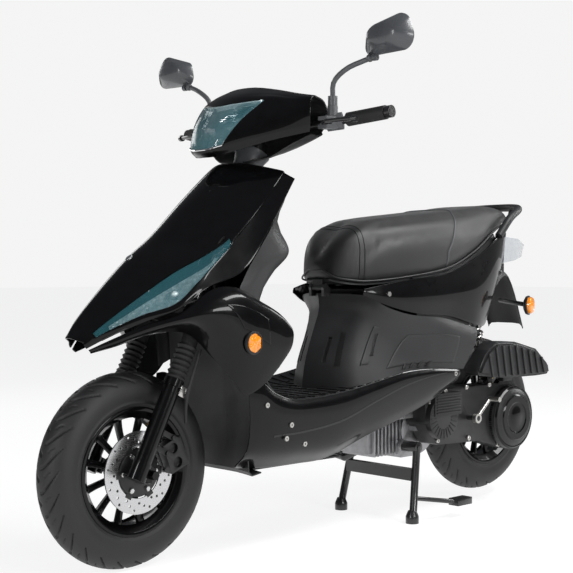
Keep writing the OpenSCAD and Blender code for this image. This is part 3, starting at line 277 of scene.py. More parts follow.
# Key, name, colour, roughness, bump layers as (kind, scale, distance, strength), and what else is set
MATERIALS = [
    ("gloss", "gloss_black_paint", (0.0022, 0.0022, 0.0026), 0.3, [("noise", 7.0, 0.0012, 0.1)],
     dict(coat=0.42, rough_vary=0.03, Specular_IOR_Level=0.08)),
    ("panel", "moulded_plastic", (0.015, 0.0153, 0.0165), 0.5, [("cells", 900.0, 0.00025, 0.35)],
     dict(vary=0.12, vary_scale=18)),
    ("dark_plastic", "dark_plastic", (0.0075, 0.0075, 0.008), 0.4, [("noise", 700.0, 0.0002, 0.3)], {}),
    ("grey_plastic", "grey_plastic", (0.075, 0.078, 0.083), 0.42, [("cells", 800.0, 0.0002, 0.3)], {}),
    ("satin_grey", "satin_grey_shell", (0.062, 0.066, 0.072), 0.3, [("noise", 900.0, 0.0001, 0.2)],
     dict(coat=0.25, vary=0.05)),
    ("frame", "frame_paint", (0.012, 0.012, 0.013), 0.32, [("noise", 60.0, 0.0004, 0.3)], dict(coat=0.4)),
    ("rubber", "rubber", (0.009, 0.009, 0.0095), 0.6, [("noise", 420.0, 0.0004, 0.4)],
     dict(vary=0.2, vary_scale=25)),
    ("tyre", "tyre_rubber", (0.0125, 0.0125, 0.0132), 0.56, [("noise", 320.0, 0.0005, 0.35)],
     dict(vary=0.22, vary_scale=14)),
    ("vinyl", "seat_vinyl", (0.0125, 0.0125, 0.013), 0.46,
     [("cells", 620.0, 0.0005, 0.5), ("noise", 30.0, 0.0006, 0.25)],
     dict(vary=0.12, vary_scale=22, Sheen_Weight=0.15)),
    # Darker copy of the seat vinyl: painted shade on the seat's shadowed front face, and the colour of its
    # seams and welt
    ("vinyl_dark", "seat_vinyl_shade_and_seams", (0.0035, 0.0035, 0.004), 0.42, [("cells", 620.0, 0.0005, 0.5)],
     dict(vary=0.12, vary_scale=22, Sheen_Weight=0.1)),
    ("steel", "zinc_steel", (0.55, 0.54, 0.52), 0.3, [("noise", 500.0, 0.0002, 0.3)],
     dict(metallic=1.0, vary=0.12, vary_scale=60)),
    ("disc", "disc_steel", (0.6, 0.6, 0.61), 0.26, [("noise", 260.0, 0.0002, 0.35)],
     dict(metallic=1.0, vary=0.1, vary_scale=90, stretch=BRUSHED)),
    ("alloy", "cast_aluminium", (0.36, 0.36, 0.37), 0.46, [("noise", 350.0, 0.0006, 0.5)],
     dict(metallic=1.0, vary=0.2, vary_scale=50)),
    ("chrome", "chrome", (0.78, 0.79, 0.8), 0.06, [("noise", 25.0, 0.0004, 0.2)],
     dict(metallic=1.0, vary=0.04, rough_vary=0.03)),
    ("facets", "lamp_facets", (0.66, 0.78, 0.8), 0.22, [("cells", 75.0, 0.006, 0.9)],
     dict(metallic=0.2, vary=0.25, vary_scale=90)),
    ("facets_big", "lamp_bowl", (0.62, 0.74, 0.76), 0.16, [("cells", 28.0, 0.01, 0.6)],
     dict(metallic=0.5, vary=0.12, vary_scale=30)),
    ("brass", "brass", (0.62, 0.44, 0.16), 0.3, [("noise", 600.0, 0.0002, 0.3)], dict(metallic=1.0)),
    ("mirror", "mirror_glass", (0.72, 0.75, 0.77), 0.02, [("noise", 8.0, 0.0002, 0.05)],
     dict(metallic=1.0, vary=0.02, rough_vary=0.01)),
    ("blue_lens", "blue_lens", (0.035, 0.15, 0.18), 0.05, [("noise", 9.0, 0.001, 0.1)],
     dict(vary=0.08, vary_scale=12, rough_vary=0.02, coat=0.6, Alpha=0.34)),
    ("clear_lens", "clear_lens", (0.42, 0.44, 0.46), 0.12, [("cells", 160.0, 0.0015, 0.5)],
     dict(vary=0.05, coat=0.8)),
    ("amber", "amber_lens", (0.95, 0.27, 0.005), 0.14, [("cells", 260.0, 0.0012, 0.6)],
     dict(vary=0.16, vary_scale=120, coat=1.0)),
    ("white_plastic", "white_plastic", (0.62, 0.63, 0.64), 0.4, [("noise", 300.0, 0.0003, 0.3)], {}),
    ("red_plastic", "red_plastic", (0.42, 0.03, 0.02), 0.4, [("noise", 500.0, 0.0002, 0.3)], {}),
]
M = {key: make_material(name, color, rough, bumps=bumps, **more)
     for key, name, color, rough, bumps, more in MATERIALS}


# ---- Shapes ----
def add_shading_group():
    """Geometry nodes that shade every face smooth and keep the edges sharper than an angle crisp."""
    group = bpy.data.node_groups.new("smooth_by_angle", "GeometryNodeTree")
    group.interface.new_socket("Geometry", in_out="INPUT", socket_type="NodeSocketGeometry")
    angle = group.interface.new_socket("Angle", in_out="INPUT", socket_type="NodeSocketFloat")
    group.interface.new_socket("Geometry", in_out="OUTPUT", socket_type="NodeSocketGeometry")
    start = group.nodes.new("NodeGroupInput")
    end = group.nodes.new("NodeGroupOutput")
    faces = group.nodes.new("GeometryNodeSetShadeSmooth")
    edges = group.nodes.new("GeometryNodeSetShadeSmooth")
    edges.domain = "EDGE"
    between_faces = group.nodes.new("GeometryNodeInputMeshEdgeAngle")
    compare = group.nodes.new("FunctionNodeCompare")
    compare.data_type = "FLOAT"
    compare.operation = "LESS_EQUAL"
    for one, slot, other, into in (
            (start, "Geometry", faces, "Geometry"), (faces, "Geometry", edges, "Geometry"),
            (between_faces, "Unsigned Angle", compare, 0), (start, "Angle", compare, 1),
            (compare, "Result", edges, "Shade Smooth"), (edges, "Geometry", end, "Geometry")):
        group.links.new(one.outputs[slot], other.inputs[into])
    return group, angle.identifier


SHADING, ANGLE_KEY = add_shading_group()


def shade(obj, angle=32.0, bevel=0.0):
    """Rounds the sharp edges by a small bevel, if one is given, and shades the rest smooth."""
    if bevel:
        mod = obj.modifiers.new("rounded_edges", "BEVEL")
        mod.width = bevel * MM
        mod.segments = 2
        mod.limit_method = "ANGLE"
        mod.angle_limit = math.radians(35)
    mod = obj.modifiers.new("shading", "NODES")
    mod.node_group = SHADING
    mod[ANGLE_KEY] = math.radians(angle)


def new_piece(name, points, faces, mat, body, cad=None, angle=32.0, bevel=0.0):
    """A mesh, from points in millimetres, that rides on a body and may stand for a CAD node."""
    data = bpy.data.meshes.new(name)
    data.from_pydata([tuple(float(x) * MM for x in p) for p in points], [], faces)
    data.validate()
    fix = bmesh.new()
    fix.from_mesh(data)
    bmesh.ops.recalc_face_normals(fix, faces=fix.faces)
    fix.to_mesh(data)
    fix.free()
    obj = bpy.data.objects.new(name, data)
    scene.collection.objects.link(obj)
    data.materials.append(M[mat])
    shade(obj, angle, bevel)
    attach(obj, body)
    if cad:
        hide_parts(cad)
    return obj


def curve(points, n):
    """n + 1 points along the smooth curve through all the points of an array's first axis."""
    p = np.asarray(points, float)
    last = len(p) - 1
    padded = np.concatenate([[2 * p[0] - p[1]], p, [2 * p[last] - p[last - 1]]])
    s = np.arange(n + 1) * last / n
    i = np.minimum(np.floor(s).astype(int), last - 1)
    t = (s - i).reshape((-1,) + (1,) * (p.ndim - 1))
    a, b, c, d = padded[i], padded[i + 1], padded[i + 2], padded[i + 3]
    return 0.5 * (2 * b + (c - a) * t + (2 * a - 5 * b + 4 * c - d) * t ** 2 + (3 * b - a - 3 * c + d)
                  * t ** 3)


def fine_net(net, nu, nv):
    rows = curve(np.swapaxes(np.asarray(net, float), 0, 1), nv)
    return curve(np.swapaxes(rows, 0, 1), nu)


def full_net(net):
    """Rows given from the middle to the left edge, completed from the right edge."""
    half = np.asarray(net, float)
    other = half[:, :0:-1] * (1, -1, 1)
    return np.concatenate([other, half], axis=1)


def normals(g):
    u = np.concatenate([g[1:], g[-1:]]) - np.concatenate([g[:1], g[:-1]])
    v = np.concatenate([g[:, 1:], g[:, -1:]], axis=1) - np.concatenate([g[:, :1], g[:, :-1]], axis=1)
    n = np.cross(u, v)
    return n / np.maximum(np.linalg.norm(n, axis=2, keepdims=True), 1e-9)


def moved(g, d):
    return g + d * normals(g)


def solid_between(over, under, skip=None):
    """Points and faces of the closed solid between two nets of one size; skip(i, j) leaves out a cell."""
    nu, nv = over.shape[0] - 1, over.shape[1] - 1
    w = nv + 1
    m = (nu + 1) * w
    points = np.concatenate([over.reshape(-1, 3), under.reshape(-1, 3)])
    kept = {(i, j) for i in range(nu) for j in range(nv) if not (skip and skip(i, j))}
    faces = []
    for i, j in sorted(kept):
        c = i * w + j
        faces.append((c, c + 1, c + w + 1, c + w))
        faces.append((m + c, m + c + w, m + c + w + 1, m + c + 1))
        for (di, dj, a, b) in ((-1, 0, c, c + 1), (0, 1, c + 1, c + w + 1), (1, 0, c + w + 1, c + w),
                               (0, -1, c + w, c)):
            if (i + di, j + dj) not in kept:
                faces.append((b, a, m + a, m + b))
    used = sorted({k for f in faces for k in f})
    new = {k: n for n, k in enumerate(used)}
    return points[used], [tuple(new[k] for k in f) for f in faces]


def joined(*solids):
    points, faces = [], []
    for p, f in solids:
        faces += [tuple(k + len(points) for k in face) for face in f]
        points += [tuple(x) for x in p]
    return points, faces


def mirrored(solid):
    points, faces = solid
    return [(p[0], -p[1], p[2]) for p in points], [tuple(reversed(f)) for f in faces]


def pair(solid):
    return joined(solid, mirrored(solid))


def sheet(g, t, skip=None):
    return solid_between(g, moved(g, -t), skip) if t > 0 else solid_between(moved(g, -t), g, skip)


def tube(line, r, sides=10, closed=False):
    """Round tube along a list of points; r is one radius or one for each point."""
    line = np.asarray(line, float)
    n = len(line)
    radii = np.full(n, r, float) if np.isscalar(r) else np.asarray(r, float)
    step = np.roll(line, -1, 0) - np.roll(line, 1, 0) if closed else np.gradient(line, axis=0)
    step /= np.linalg.norm(step, axis=1, keepdims=True)
    side = np.cross(step[0], (0.3, 0.2, 0.93))
    side /= np.linalg.norm(side)
    points = []
    for k in range(n):
        side = side - step[k] * side.dot(step[k])
        side /= np.linalg.norm(side)
        up = np.cross(step[k], side)
        for a in range(sides):
            angle = 2 * math.pi * a / sides
            points.append(line[k] + radii[k] * (math.cos(angle) * side + math.sin(angle) * up))
    faces = [(k * sides + a, k * sides + (a + 1) % sides, (k + 1) % n * sides + (a + 1) % sides,
              (k + 1) % n * sides + a) for k in range(n if closed else n - 1) for a in range(sides)]
    if not closed:
        faces.append(tuple(range(sides - 1, -1, -1)))
        faces.append(tuple((n - 1) * sides + a for a in range(sides)))
    return points, faces


def turned(profile, steps=96, place=(0, 0, 0), matrix=None, closed=True):
    """A closed profile of (radius, height) turned round Z, then moved by a matrix and to a place."""
    count = len(profile)
    points = [(r * math.cos(2 * math.pi * k / steps), r * math.sin(2 * math.pi * k / steps), z)
              for k in range(steps) for r, z in profile]
    faces = [(k * count + i, (k + 1) % steps * count + i, (k + 1) % steps * count + (i + 1) % count,
              k * count + (i + 1) % count) for k in range(steps)
              for i in range(count if closed else count - 1)]
    return placed((points, faces), matrix, place)


def placed(solid, matrix=None, place=(0, 0, 0)):
    points, faces = solid
    m = matrix or Matrix.Identity(3)
    return [tuple(m @ Vector(p) + Vector(place)) for p in points], faces


def block(low, high):
    (x0, y0, z0), (x1, y1, z1) = low, high
    points = [(x, y, z) for x in (x0, x1) for y in (y0, y1) for z in (z0, z1)]
    return points, [(0, 1, 3, 2), (4, 6, 7, 5), (0, 4, 5, 1), (2, 3, 7, 6), (0, 2, 6, 4), (1, 5, 7, 3)]


def prism(outline, low, high):
    """An outline in X and Y, counter-clockwise, drawn up from one height to another."""
    n = len(outline)
    points = [(x, y, low) for x, y in outline] + [(x, y, high) for x, y in outline]
    faces = [tuple(range(n - 1, -1, -1)), tuple(range(n, 2 * n))]
    faces += [(k, (k + 1) % n, n + (k + 1) % n, n + k) for k in range(n)]
    return points, faces


ALONG_Y = Matrix.Rotation(math.radians(-90), 3, "X")
STEER_BASE = Vector((607, 0, 215))
TILT = Matrix.Rotation(math.radians(-27), 3, "Y")


def on_steering(solid):
    return placed(solid, TILT, STEER_BASE)


# ---- Body panels ----
K = 4
STEP_U, STEP_V = 21, 12
cover = fine_net(full_net(COVER_NET), STEP_U * K, 2 * STEP_V * K)
LENS_ROWS, LENS_COLUMNS = (2, 15), (6, 9)


def in_lens(i, j):
    side = abs(j + 0.5 - STEP_V * K)
    return LENS_ROWS[0] * K <= i < LENS_ROWS[1] * K and LENS_COLUMNS[0] * K < side < LENS_COLUMNS[1] * K


new_piece("nose_shield", *sheet(cover, 3, in_lens), "gloss", "chassis", "front_cover", bevel=0.8)
lens_net = cover[LENS_ROWS[0] * K:LENS_ROWS[1] * K + 1,
                 (STEP_V + LENS_COLUMNS[0]) * K:(STEP_V + LENS_COLUMNS[1]) * K + 1]


def drawn_in(g, share_u, share_v):
    """A net drawn in from its long edges and its short ends, so that a gap is left round it."""
    mid_v = (g[:, :1] + g[:, -1:]) / 2
    h = g + share_v * (mid_v - g)
    mid_u = (h[:1] + h[-1:]) / 2
    return h + share_u * (mid_u - h)


new_piece("turn_lamp_lenses", *pair(sheet(drawn_in(lens_net, 0.006, 0.04), 2.2)), "blue_lens", "chassis",
          "turn_lenses", bevel=0.5)


def sample(g, i, j):
    """A point of a fine net at places between its rows and columns."""
    i0, j0 = min(int(i), g.shape[0] - 2), min(int(j), g.shape[1] - 2)
    u, v = i - i0, j - j0
    return ((1 - u) * (1 - v) * g[i0, j0] + u * (1 - v) * g[i0 + 1, j0] + (1 - u) * v * g[i0, j0 + 1]
            + u * v * g[i0 + 1, j0 + 1])


def patch(g, corners, nu, nv, lift, thick, out=-1):
    """Solid on a four-cornered part of a fine net; the corners are shares of the net's rows and columns."""
    n = normals(g)
    a, b, c, d = [np.array(q) * (g.shape[0] - 1, g.shape[1] - 1) for q in corners]
    top = np.zeros((nu + 1, nv + 1, 3))
    away = np.zeros_like(top)
    for p in range(nu + 1):
        for q in range(nv + 1):
            u, v = p / nu, q / nv
            at = (1 - u) * ((1 - v) * a + v * b) + u * ((1 - v) * d + v * c)
            top[p, q] = sample(g, *at)
            away[p, q] = out * sample(n, *at)
    return solid_between(top + away * lift, top + away * (lift - thick))


new_piece("turn_lamp_backs", *pair(sheet(moved(lens_net, 20), -1.2)), "dark_plastic", "chassis",
          "turn_reflectors")
facets = patch(lens_net, [(0.12, 0.30), (0.12, 0.92), (0.92, 0.90), (0.88, 0.30)], 48, 10, -10, 1.2)
new_piece("turn_lamp_reflectors", *pair(facets), "facets", "chassis", angle=20)
bulb = turned([(0.1, 0), (7, 0), (9, 6), (9, 14), (6, 20), (0.1, 22)], 24, closed=False)
spot = lens_net[lens_net.shape[0] // 2, lens_net.shape[1] // 2] + 12 * normals(lens_net)[24, 6]
new_piece("turn_lamp_bulbs", *pair(placed(bulb, ALONG_Y, tuple(spot))), "facets", "chassis")

new_piece("nose_wings", *pair(sheet(fine_net(FAIRING_NET, 72, 40), -3)), "gloss", "chassis",
          "side_fairings", bevel=0.8)
new_piece("leg_shield_panel", *sheet(fine_net(full_net(SHIELD_NET), 72, 80), -3), "panel", "chassis",
          bevel=0.8)
new_piece("skirt_panels", *pair(sheet(fine_net(SKIRT_NET, 88, 40), -3)), "gloss", "chassis", "side_skirts",
          bevel=0.8)
new_piece("tail_panels", *pair(sheet(fine_net(TAIL_NET, 84, 24), -3)), "gloss", "chassis", "tail_sides",
          bevel=0.8)

# Headset: front cover, headlamp and its bowl
HEAD_U, HEAD_V = 15, 12
headset = fine_net(full_net(HEADSET_NET), HEAD_U * K, 2 * HEAD_V * K)
LAMP_ROWS, LAMP_HALF = (3, 9), 6


def in_lamp(i, j):
    return LAMP_ROWS[0] * K <= i < LAMP_ROWS[1] * K and abs(j + 0.5 - HEAD_V * K) < LAMP_HALF * K


new_piece("headset_cover", *sheet(headset, -3, in_lamp), "gloss", "steering", "headset_front", bevel=0.8)
lamp_net = headset[LAMP_ROWS[0] * K:LAMP_ROWS[1] * K + 1,
                   (HEAD_V - LAMP_HALF) * K:(HEAD_V + LAMP_HALF) * K + 1]
new_piece("headlamp_lens", *sheet(drawn_in(lamp_net, 0.012, 0.006), -2.5), "blue_lens", "steering",
          "headlight_lens", bevel=0.5)


def bowl_net(g, depth, columns):
    """The net moved in behind the lens, deepest in the middle of each of its reflectors."""
    h = moved(g, 1.0)
    n = normals(g)
    rows, cols = h.shape[:2]
    for i in range(rows):
        for j in range(cols):
            u = i / (rows - 1)
            v = j / (cols - 1) * columns % 1.0
            h[i, j] += n[i, j] * depth * (4 * u * (1 - u)) ** 0.5 * (4 * v * (1 - v)) ** 0.5
    return h


new_piece("headlamp_bowl", *sheet(bowl_net(lamp_net, 26, 1), -1.2), "facets_big", "steering",
          "headlight_bowl", angle=25)
# Stepped fins in the upper outer corners of the headlamp
FIN_COUNT, FIN_FRONT, FIN_BACK = 7, 4, 15
fins = []
for side in (1, -1):
    for k in range(FIN_COUNT):
        row = lamp_net[14 + k if 14 + k < lamp_net.shape[0] - 1 else -2]
        mid = (row.shape[0] - 1) // 2
        cut = [row[mid + side * q] for q in range(11 + k, mid - 1)]
        inward = np.array([-1.0, 0, -0.3])
        points, faces = [], []
        for p in cut:
            front, back = p + inward * FIN_FRONT, p + inward * FIN_BACK
            points += [front, back, back + (0, 0, 1), front + (0, 0, 1)]
        for q in range(len(cut) - 1):
            faces += [(4 * q + e, 4 * q + 4 + e, 4 * q + 4 + (e + 1) % 4,
                       4 * q + (e + 1) % 4) for e in range(4)]
        if len(cut) > 2:
            faces += [(0, 1, 2, 3), (4 * len(cut) - 1, 4 * len(cut) - 2, 4 * len(cut) - 3, 4 * len(cut) - 4)]
            fins.append((points, faces))
new_piece("headlamp_fins", *joined(*fins), "chrome", "steering")
lamp_centre = lamp_net[lamp_net.shape[0] // 2, lamp_net.shape[1] // 2]
bulb_axis = Matrix.Rotation(math.radians(75), 3, "Y")
head_bulb = turned([(0.1, 0), (9, 0), (10, 8), (6.5, 14), (6.5, 26), (4, 29), (0.1, 30)], 32, closed=False)
new_piece("headlamp_bulb", *placed(head_bulb, bulb_axis, tuple(lamp_centre + np.array([-38.0, 0, -9]))),
          "white_plastic", "steering")
rim_line = curve(lamp_net[0] - 0.5 * normals(lamp_net)[0], 60)
new_piece("headlamp_trim", *tube(rim_line, 2.2, 8), "chrome", "steering")


# ---- Seat ----
SEAT_SECTION = [[0, 0.015], [0.5, 0.008], [0.86, 0.0], [0.95, 0.05], [0.995, 0.2], [1, 0.4], [0.98, 0.6],
                [0.92, 0.8], [0.8, 0.93], [0.55, 0.99], [0.25, 1.0], [0, 1]]


def seat_shape(inset):
    """Closed shell of the cushion, drawn in by an inset at the sides and the top."""
    stations = curve(SEAT_STATIONS, 96)
    half = curve(SEAT_SECTION, 44)
    points = []
    for x, low, high, wide in stations:
        w, h = max(wide - inset, 4), high - low - inset * 0.6
        ring = [(x, -w * p[0], low + h * p[1]) for p in half]
        ring += [(x, w * p[0], low + h * p[1]) for p in half[-2:0:-1]]
        points += ring
    n = len(ring)
    count = len(stations)
    faces = [(k * n + e, k * n + (e + 1) % n, (k + 1) * n + (e + 1) % n, (k + 1) * n + e)
             for k in range(count - 1) for e in range(n)]
    faces += [tuple(range(n - 1, -1, -1)), tuple((count - 1) * n + e for e in range(n))]
    return points, faces


def inflated(obj, pressure=4.0, cap=0.007):
    """Voxel remesh, then a short cloth simulation that swells the shape, by the cap at most."""
    mod = obj.modifiers.new("remesh", "REMESH")
    mod.mode = "VOXEL"
    mod.voxel_size = 0.006
    bpy.context.view_layer.objects.active = obj
    obj.select_set(True)
    bpy.ops.object.modifier_apply(modifier=mod.name)
    start = np.array([v.co[:] for v in obj.data.vertices])
    stations = curve(SEAT_STATIONS, 96)[::-1]
    floor_z = np.interp(start[:, 0], stations[:, 0] * MM, stations[:, 1] * MM)
    held = obj.vertex_groups.new(name="held")
    low = [int(i) for i in np.nonzero(start[:, 2] < floor_z + 0.010)[0]]
    held.add(low, 1.0, "REPLACE")
    cloth = obj.modifiers.new("cloth", "CLOTH")
    cloth.settings.use_pressure = True
    cloth.settings.uniform_pressure_force = pressure
    cloth.settings.effector_weights.gravity = 0
    cloth.settings.vertex_group_mass = "held"
    cloth.settings.quality = 5
    cloth.point_cache.frame_start, cloth.point_cache.frame_end = 1, 20
    for f in range(1, 21):
        scene.frame_set(f)
    bpy.ops.object.modifier_apply(modifier=cloth.name)
    end = np.array([v.co[:] for v in obj.data.vertices])
    move = end - start
    size = np.linalg.norm(move, axis=1, keepdims=True)
    end = start + move * np.minimum(1.0, cap / np.maximum(size, 1e-9))
    obj.data.vertices.foreach_set("co", end.ravel())
    scene.frame_set(1)


points, faces = seat_shape(6.0)
data = bpy.data.meshes.new("seat_cushion_vinyl")
data.from_pydata([tuple(float(c) * MM for c in p) for p in points], [], faces)
seat = bpy.data.objects.new("seat_cushion_vinyl", data)
scene.collection.objects.link(seat)
fix = bmesh.new()
fix.from_mesh(data)
bmesh.ops.recalc_face_normals(fix, faces=fix.faces)
fix.to_mesh(data)
fix.free()
inflated(seat)
smooth = seat.modifiers.new("smooth", "SMOOTH")
smooth.iterations = 14
bpy.context.view_layer.objects.active = seat
bpy.ops.object.modifier_apply(modifier=smooth.name)
seat.data.materials.clear()
for key in ("vinyl", "vinyl_dark"):
    seat.data.materials.append(M[key])
NOSE_SEAM = -0.040
SEAM_START = -0.16
# Faces ahead of the nose seam take the second, darker vinyl: painted shade on the seat's shadowed front face
for face in seat.data.polygons:
    face.use_smooth = True
    face.material_index = 1 if face.center.x > NOSE_SEAM - 0.012 else 0
tree = BVHTree.FromObject(seat, bpy.context.evaluated_depsgraph_get())


def seat_line(station, lean, n=60):
    """Points over the cushion from one lower edge to the other; lean moves the top of the line back."""
    found = []
    for k in range(n + 1):
        a = math.pi * (k / n) * (1 - 2 * SEAM_START) + math.pi * SEAM_START
        x = station - lean * max(math.sin(a), 0.0)
        base = np.interp(x, [s[0] for s in SEAT_STATIONS[::-1]], [s[1] for s in SEAT_STATIONS[::-1]])
        top = np.interp(x, [s[0] for s in SEAT_STATIONS[::-1]], [s[2] for s in SEAT_STATIONS[::-1]])
        origin = Vector((x, 0, base + 0.42 * (top - base))) * MM
        hit = tree.ray_cast(origin, Vector((0, math.cos(a), math.sin(a) * 0.8 - 0.12)).normalized())
        if hit[0]:
            found.append(hit[0] / MM)
    return [tuple(p) for p in found]


seams = [tube(seat_line(-34, 8), 1.3, 6), tube(seat_line(-47, 8), 1.3, 6)]
new_piece("seat_nose_seams", *joined(*seams), "vinyl_dark", "seat")
new_piece("seat_piping", *tube(seat_line(-322, 96, 80), 2.4, 8), "grey_plastic", "seat")
stations = curve(SEAT_STATIONS, 80)
line = [(x, w * 0.985 - 2, low + 5) for x, low, high, w in stations[1:-1]]
line = line + [(x, -y, z) for x, y, z in line[::-1]]
new_piece("seat_welt", *tube(line, 2.4, 8, closed=True), "vinyl_dark", "seat")
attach(seat, "seat")
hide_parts("seat_cushion")


# ---- Wheels ----
AXLES = {"front": Vector((620, 0, 215)), "rear": Vector((-620, 0, 239))}


def groove(angle, u):
    """Depth of the tread at a turn round the wheel and a place across it, -1 to 1, in millimetres."""
    turns = 26
    side = abs(u)
    swept = angle * turns / (2 * math.pi) + (0.5 if u < 0 else 0.0) - 1.05 * side ** 1.5
    main = abs(swept % 1.0 - 0.5)
    depth = 0.0
    if 0.06 < side < 0.97:
        width = 0.06 + 0.03 * (1 - side)
        depth = max(depth, 3.4 * min(1.0, max(0.0, (width - main) / 0.03)))
    hook = abs((swept + 0.45 + 0.5 * abs(side - 0.42)) % 1.0 - 0.5)
    if 0.28 < side < 0.56:
        depth = max(depth, 2.2 * min(1.0, max(0.0, (0.045 - hook) / 0.03)))
    if 0.955 < side < 1.0:
        depth = max(depth, 1.2)
    return depth


def tyre(name, end):
    """Tyre with a grooved tread and ribs round the sidewall and the bead."""
    around, across = 728, 46
    half_w, crown_r = 47.0, 168.0
    inner = [(139, 40), (139, 33), (168, 38), (190, 30), (198, 0), (190, -30), (168, -38), (139, -33),
             (139, -40)]
    ring = [(crown_r + half_w * math.sin(math.pi * k / across), -half_w * math.cos(math.pi * k / across))
            for k in range(across + 1)]
    wall = [(143.5, -43.3), (146, -43.6), (147.5, -44.9), (150, -45.0), (151.5, -44.0), (158, -45.6)]
    profile = wall + ring + [(r, -y) for r, y in reversed(wall)] + inner
    count, first = len(profile), len(wall)
    points = []
    for k in range(around):
        a = 2 * math.pi * k / around
        for n, (r, y) in enumerate(profile):
            if first <= n <= first + across:
                turn = math.pi * (n - first) / across
                u = (turn - math.pi / 2) / math.radians(58)
                if abs(u) < 1:
                    d = groove(a, u)
                    r, y = r - d * math.sin(turn), y + d * math.cos(turn)
            points.append((r * math.cos(a), y, r * math.sin(a)))
    faces = [(k * count + n, (k + 1) % around * count + n, (k + 1) % around * count + (n + 1) % count,
              k * count + (n + 1) % count) for k in range(around) for n in range(count)]
    return new_piece(name, *placed((points, faces), None, AXLES[end]), "tyre", f"{end}_wheel",
                     f"{end}_tyre", angle=50)


tyre("front_tyre_treaded", "front")
tyre("rear_tyre_treaded", "rear")


def alloy_wheel(name, end):
    """Twelve-spoke rim: blades that widen and curve out to the rim's two lips."""
    profile = [(116, -26), (124, -33), (131, -42), (137, -43.4), (140.6, -42.8), (141, -40.4), (138.5, -40),
                (138, -33), (128, -27), (127, 0), (128, 27), (138, 33), (138.5, 40), (141, 40.4),
               (140.6, 42.8), (137, 43.4), (131, 42), (124, 33), (116, 26), (121, 20), (121, -20)]
    solids = [turned(profile, 144, matrix=ALONG_Y)]
    hub = [(6.3, -46), (24, -46), (27, -44), (29, -36), (34, -22), (36, 0), (34, 26), (31, 40), (27, 46),
           (6.3, 46)]
    solids.append(turned(hub, 72, matrix=ALONG_Y))
    for k in range(12):
        turn = Matrix.Rotation(math.radians(30 * k + 15), 3, "Y")
        stations = []
        for s in range(9):
            f = s / 8
            r = 30 + 92 * f
            width = 5.5 + 4.5 * (1 - f) ** 2 + 4.0 * f ** 3
            front = 27 - 7 * math.sin(math.pi * f * 0.8) + 3 * f
            back = front - 12 - 4 * f
            stations.append([(r, front, -width * 0.45), (r, front, width * 0.45), (r, front - 4, width),
                             (r, back, width * 0.8), (r, back, -width * 0.8), (r, front - 4, -width)])
        points = [p for ring in stations for p in ring]
        faces = [(6 * s + e, 6 * s + (e + 1) % 6, 6 * s + 6 + (e + 1) % 6, 6 * s + 6 + e)
                 for s in range(8) for e in range(6)]
        faces += [(5, 4, 3, 2, 1, 0), (48, 49, 50, 51, 52, 53)]
        solids.append(placed((points, faces), turn))
    points, faces = joined(*solids)
    return new_piece(name, *placed((points, faces), None, AXLES[end]), "gloss", f"{end}_wheel",
                     f"{end}_rim", angle=28, bevel=0.6)


alloy_wheel("front_alloy_rim", "front")
alloy_wheel("rear_alloy_rim", "rear")
valve = [(0.1, 0), (3.4, 0), (3.4, 10), (2.6, 10.6), (2.6, 12), (3.6, 12.6), (3.6, 15), (0.1, 15)]
valve_turn = Matrix.Rotation(math.radians(-30), 3, "Y") @ Matrix.Rotation(math.radians(-42), 3, "X")
for end in AXLES:
    base = AXLES[end] + Matrix.Rotation(math.radians(-30), 3, "Y") @ Vector((0, 20, 119))
    flip = valve_turn @ Matrix.Rotation(math.radians(180), 3, "X")
    new_piece(f"{end}_valve", *placed(turned(valve, 24, closed=False), flip, base), "brass", f"{end}_wheel")

# Black carrier of the brake disc, with its bolts
carrier = [turned([(20, -0.6), (52, -0.6), (53, 1), (53, 6.5), (51, 8.4), (34, 8.4), (30, 10.4),
                   (20, 10.4)], 96, matrix=ALONG_Y)]
bolts = []
for k in range(6):
    turn = Matrix.Rotation(math.radians(60 * k), 3, "Y")
    carrier.append(placed(block((44, 1.5, -9), (61, 8.2, 9)), turn))
    bolts.append(placed(turned([(0.1, 8), (5.2, 8), (5.2, 11.6), (3.2, 12.8), (2.4, 12.8), (2.4, 11),
                                (0.1, 11)], 6, closed=False, matrix=ALONG_Y), turn,
                        turn @ Vector((44, 0, 0))))
disc_place = AXLES["front"] + Vector((0, 46, 0))
new_piece("disc_carrier", *placed(joined(*carrier), None, disc_place), "dark_plastic", "front_wheel",
          bevel=0.5)
new_piece("disc_bolts", *placed(joined(*bolts), None, disc_place), "steel", "front_wheel", bevel=0.3)


# ---- Details that lie on the panels ----
def ribs_on(name, g, mat, body, rows, low, high, width, lift, lean):
    """Raised ribs on both sides, at shares of a net's rows, between two shares of its columns."""
    ribs = [patch(g, [(r, low), (r + lean, high), (r + lean + width, high), (r + width, low)], 2, 16, lift,
                  4, out=1) for r in rows]
    return new_piece(name, *pair(joined(*ribs)), mat, body, bevel=0.4)


seat_body = fine_net(SEAT_BODY_NET, 72, 40)
frame_of_vent = patch(seat_body, [(0.36, 0.22), (0.44, 0.60), (0.48, 0.60), (0.42, 0.22)], 14, 14, 6.0, 4,
                      out=1)
new_piece("side_vent_frames", *pair(frame_of_vent), "panel", "chassis", bevel=0.8)
ribs_on("side_vent_slats", seat_body, "dark_plastic", "chassis", [0.425, 0.435, 0.445], 0.30, 0.52,
        width=0.006, lift=7.0, lean=0.03)
new_piece("front_vents", *pair(patch(seat_body, [(0.17, 0.22), (0.17, 0.52), (0.21, 0.50), (0.21, 0.22)], 3,
                                      14, 4.0, 3, out=1)), "dark_plastic", "chassis")
relief = [(0.53, 0.12), (0.66, 0.56), (0.90, 0.60), (0.90, 0.12)]
new_piece("side_reliefs", *pair(patch(seat_body, relief, 24, 12, 5.4, 4, out=1)), "panel", "chassis",
          bevel=1.6)
ribs_on("side_slots", seat_body, "dark_plastic", "chassis", [0.62, 0.66, 0.70, 0.74], 0.06, 0.15,
        width=0.02, lift=6.6, lean=0.02)

